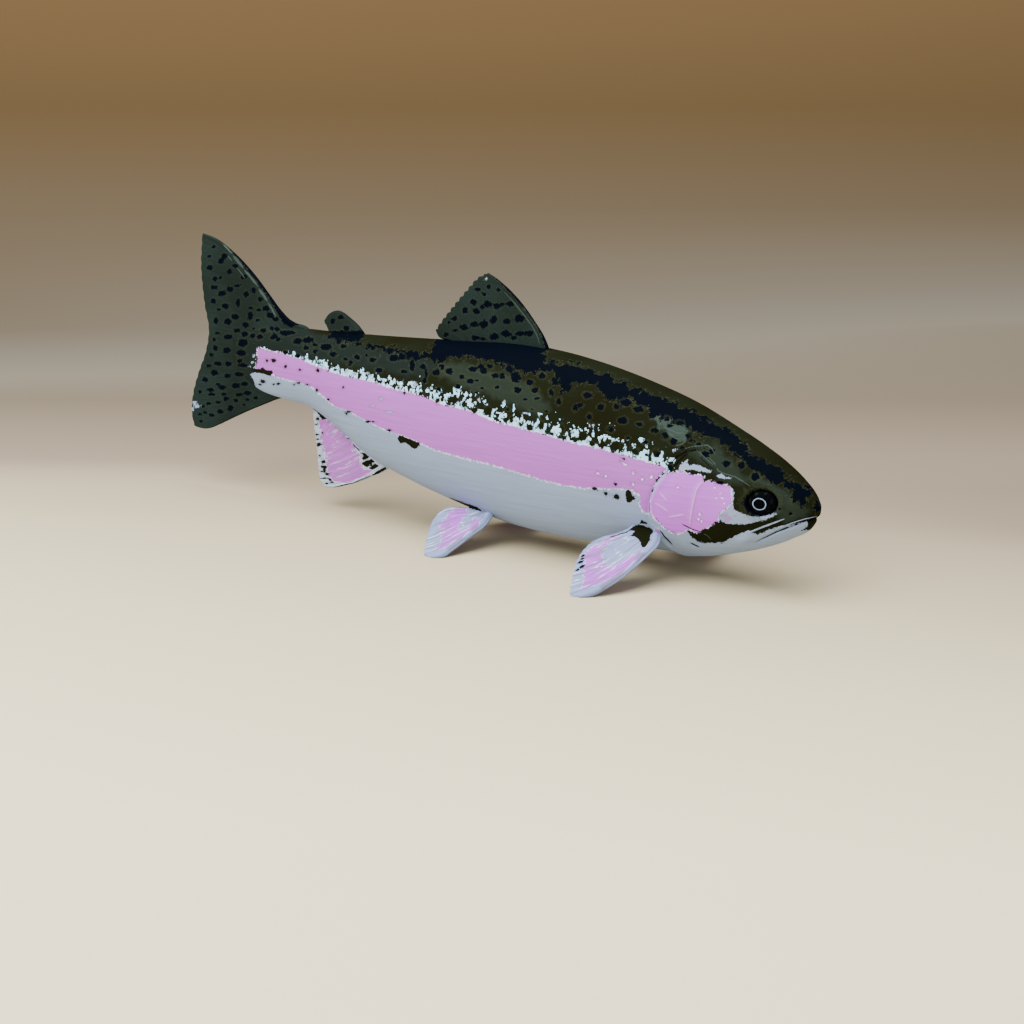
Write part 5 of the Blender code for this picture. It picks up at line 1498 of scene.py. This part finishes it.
class TROUT_OT_eyes(bpy.types.Operator):
    """Set a domed eye with a printed ring in each socket"""

    bl_idname = "trout.eyes"
    bl_label = "Eyes"

    def execute(self, context):
        material = eye_plastic(context)
        x, z = EYE_AT
        step = 0.05
        slope_x = (skin_side(x + step, z) - skin_side(x - step, z)) / (2 * step)
        slope_z = (skin_side(x, z + step) - skin_side(x, z - step)) / (2 * step)
        share = np.linspace(0.0, 1.0, EYE_RINGS + 1)[1:]
        level = EYE_EDGE + (EYE_CROWN - EYE_EDGE) * np.sqrt(1 - share ** EYE_DOME)
        share = np.concatenate([share, [1.0, 0.9]])
        level = np.concatenate([level, [EYE_SUNK, EYE_SUNK]])
        turn = np.linspace(0, 2 * pi, EYE_AROUND, endpoint=False)
        u = share[:, None] * np.cos(turn)
        v = share[:, None] * np.sin(turn)
        local = np.stack([u, v, 0 * u], axis=-1).reshape(-1, 3)
        for side, word in ((1, "left"), (-1, "right")):
            outward = np.array((-slope_x, side, -slope_z))
            outward /= np.linalg.norm(outward)
            ahead = np.array((1.0, 0.0, 0.0)) - outward * outward[0]
            ahead /= np.linalg.norm(ahead)
            above = np.cross(outward, ahead)
            above *= np.sign(above[2])
            centre = np.array((x, side * skin_side(x, z), z))
            points = (centre + ahead * (EYE_RADII[0] * u)[..., None]
                      + above * (EYE_RADII[1] * v)[..., None] + outward * level[:, None, None])
            ends = [centre + outward * EYE_CROWN, centre + outward * EYE_SUNK]
            points = np.concatenate([points.reshape(-1, 3), ends])
            made = new_object("eye_dome_" + word, points, tube_faces(len(share), EYE_AROUND))
            close_up(made)
            put_attribute(made.data, "eye", "FLOAT_VECTOR", np.concatenate([local, np.zeros((2, 3))]))
            finish_piece(made, material, ["eye_" + word])
        return {"FINISHED"}


class TROUT_OT_dark_fins(bpy.types.Operator):
    """Grow the tail fin, dorsal fin and adipose fin"""

    bl_idname = "trout.dark_fins"
    bl_label = "Dark fins"

    def execute(self, context):
        material = dark_plastic(context)
        tail = (CAUDAL_BASE, CAUDAL_LEAD, CAUDAL_MARGIN, CAUDAL_TRAIL)
        build_fin(context, "tail_fin_printed", "caudal_fin", tail, upright, 20, (0.52, 0.34), 0.2, TAIL,
                  {"navy": [TAIL_EDGE]}, material)
        root = root_line(back_level, DORSAL_BASE, -ROOT_SINK)
        dorsal = (root, DORSAL_LEAD, DORSAL_MARGIN, DORSAL_TRAIL)
        build_fin(context, "dorsal_fin_printed", "dorsal_fin", dorsal, upright, 11, (0.5, 0.32), 0.45,
                  DORSAL, {"navy": [DORSAL_EDGE]}, material)
        root = root_line(back_level, ADIPOSE_BASE, -ROOT_SINK)
        adipose = (root, ADIPOSE_LEAD, ADIPOSE_MARGIN, ADIPOSE_TRAIL)
        build_fin(context, "adipose_fin_printed", "adipose_fin", adipose, upright, 5, None, 0.0, REAR,
                  {"navy": [NAVY_ADIPOSE]}, material, half=ADIPOSE_HALF)
        return {"FINISHED"}


class TROUT_OT_pale_fins(bpy.types.Operator):
    """Grow the anal fin and the two pairs of fins that the fish stands on"""

    bl_idname = "trout.pale_fins"
    bl_label = "Pale fins"

    def execute(self, context):
        material = pale_plastic(context, "anal_fin_plastic", "milk", "pink", 0.4)
        anal = (root_line(belly_level, ANAL_BASE, ROOT_SINK), ANAL_LEAD, ANAL_MARGIN, [])
        areas = {"pink": [ANAL_PINK], "patch": [ANAL_REAR_ROOT, *ANAL_BLOCKS]}
        build_fin(context, "anal_fin_printed", "anal_fin", anal, upright, 11, (0.5, 0.34), 0.35, ANAL,
                  areas, material)
        material = pale_plastic(context, "paired_fin_plastic", "fin_milk", "fin_pink", 0.8)
        pectoral = (PECTORAL_BASE, PECTORAL_LEAD, PECTORAL_MARGIN, PECTORAL_TRAIL)
        pelvic = (PELVIC_BASE, PELVIC_LEAD, PELVIC_MARGIN, PELVIC_TRAIL)
        pairs = [("pectoral_fin", PECTORAL_PLANE, pectoral, 12, PECTORAL, PECTORAL_PINK, PECTORAL_ROOT),
                 ("pelvic_fin", PELVIC_PLANE, pelvic, 10, PELVIC, PELVIC_PINK, PELVIC_ROOT)]
        for kind, plane, outline, rays, view, pink, patch in pairs:
            for side, word in ((1, "left"), (-1, "right")):
                build_fin(context, kind + "_printed_" + word, kind + "_" + word, outline,
                          paired_plane(*plane, side), rays, (0.8, 0.6), 0.3, view,
                          {"pink": [pink], "patch": [patch]}, material)
        return {"FINISHED"}


class TROUT_OT_stage(bpy.types.Operator):
    """Lay the floor with its curved backdrop, and set the soft lights and the camera"""

    bl_idname = "trout.stage"
    bl_label = "Stage"

    def execute(self, context):
        self.lay_floor(context)
        self.hang_lights(context.scene)
        self.set_camera(context.scene)
        return {"FINISHED"}

    def lay_floor(self, context):
        """Lay a floor that bends up into a backdrop, with the run from front to back stored on it for its
        painted falloff.
        """
        ahead = np.array((-sin(CAMERA_YAW), cos(CAMERA_YAW), 0.0))
        level = [FLOOR_FRONT, *np.linspace(FLOOR_FALLOFF[0][0], FLOOR_DEPTH, FLOOR_ROWS)]
        bend = np.linspace(0, pi / 2, FLOOR_TURNS + 1)[1:]
        forward = [*level, *(FLOOR_DEPTH + FLOOR_BEND * np.sin(bend)), FLOOR_DEPTH + FLOOR_BEND]
        up = [*np.zeros(len(level)), *(FLOOR_BEND * (1 - np.cos(bend))), FLOOR_TOP]
        profile = np.stack([forward, up], axis=-1)
        steps = np.linalg.norm(np.diff(profile, axis=0), axis=1)
        run = np.concatenate([[0.0], np.cumsum(steps)]) + FLOOR_FRONT
        near = np.linspace(-FLOOR_NEAR_SIDE, FLOOR_NEAR_SIDE, FLOOR_COLUMNS)
        across = np.array((-FLOOR_SIDE, *near, FLOOR_SIDE))
        points = profile[:, :1] * ahead + profile[:, 1:] * np.array((0.0, 0.0, 1.0))
        points = points[:, None] + across[:, None] * CAMERA_RIGHT
        floor = new_object("floor", points.reshape(-1, 3), grid_faces(len(profile), len(across)))
        lean = np.interp(run, *np.array(FALLOFF_LEAN).T)
        leant = run[:, None] + lean[:, None] * np.clip(across, -FLOOR_NEAR_SIDE, FLOOR_NEAR_SIDE)
        put_attribute(floor.data, "run", "FLOAT", leant.ravel())
        floor.data.materials.append(floor_paper(context))

    def hang_lights(self, scene):
        """Hang the two soft lamps and light the room evenly."""
        for name, at, aim, size, power in LAMPS:
            lamp = bpy.data.lights.new(name, "AREA")
            lamp.shape = "ELLIPSE"
            lamp.size, lamp.size_y = size
            lamp.energy = power
            lamp.color = LAMP_COLOUR
            thing = bpy.data.objects.new(name, lamp)
            scene.collection.objects.link(thing)
            thing.location = Vector(at) * MM
            thing.rotation_euler = (Vector(aim) * MM - thing.location).to_track_quat("-Z", "Y").to_euler()
        world = bpy.data.worlds.new("soft_room")
        world.use_nodes = True
        feed(world.node_tree, world.node_tree.nodes["Background"],
             {"Color": ROOM_COLOUR, "Strength": ROOM_STRENGTH})
        scene.world = world

    def set_camera(self, scene):
        """Set the camera where the picture was taken from."""
        data = bpy.data.cameras.new("camera")
        data.sensor_width = SENSOR
        data.lens = SENSOR * FOCAL / PICTURE
        data.clip_start, data.clip_end = SIGHT
        camera = bpy.data.objects.new("camera", data)
        scene.collection.objects.link(camera)
        turn = np.eye(4)
        turn[:3] = np.stack([CAMERA_RIGHT, CAMERA_UP, -CAMERA_AHEAD, CAMERA_AT * MM], axis=-1)
        camera.matrix_world = Matrix(turn.tolist())
        scene.camera = camera


class TROUT_PT_panel(bpy.types.Panel):
    """Steps and values of the figurine"""

    bl_idname = "TROUT_PT_panel"
    bl_label = "Trout"
    bl_space_type = "VIEW_3D"
    bl_region_type = "UI"
    bl_category = "Trout"

    def draw(self, context):
        layout = self.layout
        for step in STEPS:
            layout.operator(step.bl_idname)
        for values in (context.scene.trout_sizes, context.scene.trout_colours):
            box = layout.box()
            for name in values.bl_rna.properties.keys():
                if name not in ("rna_type", "name"):
                    box.prop(values, name)


STEPS = (TROUT_OT_stage, TROUT_OT_skin, TROUT_OT_eyes, TROUT_OT_dark_fins, TROUT_OT_pale_fins)
CLASSES = (TroutSizes, TroutColours, *STEPS, TROUT_PT_panel)


def register():
    """Add the classes and the two groups of values."""
    for item in CLASSES:
        bpy.utils.register_class(item)
    bpy.types.Scene.trout_sizes = bpy.props.PointerProperty(type=TroutSizes)
    bpy.types.Scene.trout_colours = bpy.props.PointerProperty(type=TroutColours)


def unregister():
    """Take the classes and the values away."""
    del bpy.types.Scene.trout_colours
    del bpy.types.Scene.trout_sizes
    for item in reversed(CLASSES):
        bpy.utils.unregister_class(item)


def main():
    register()
    bpy.ops.trout.stage()
    bpy.ops.trout.skin()
    bpy.ops.trout.eyes()
    bpy.ops.trout.dark_fins()
    bpy.ops.trout.pale_fins()


if __name__ == "__main__":
    main()
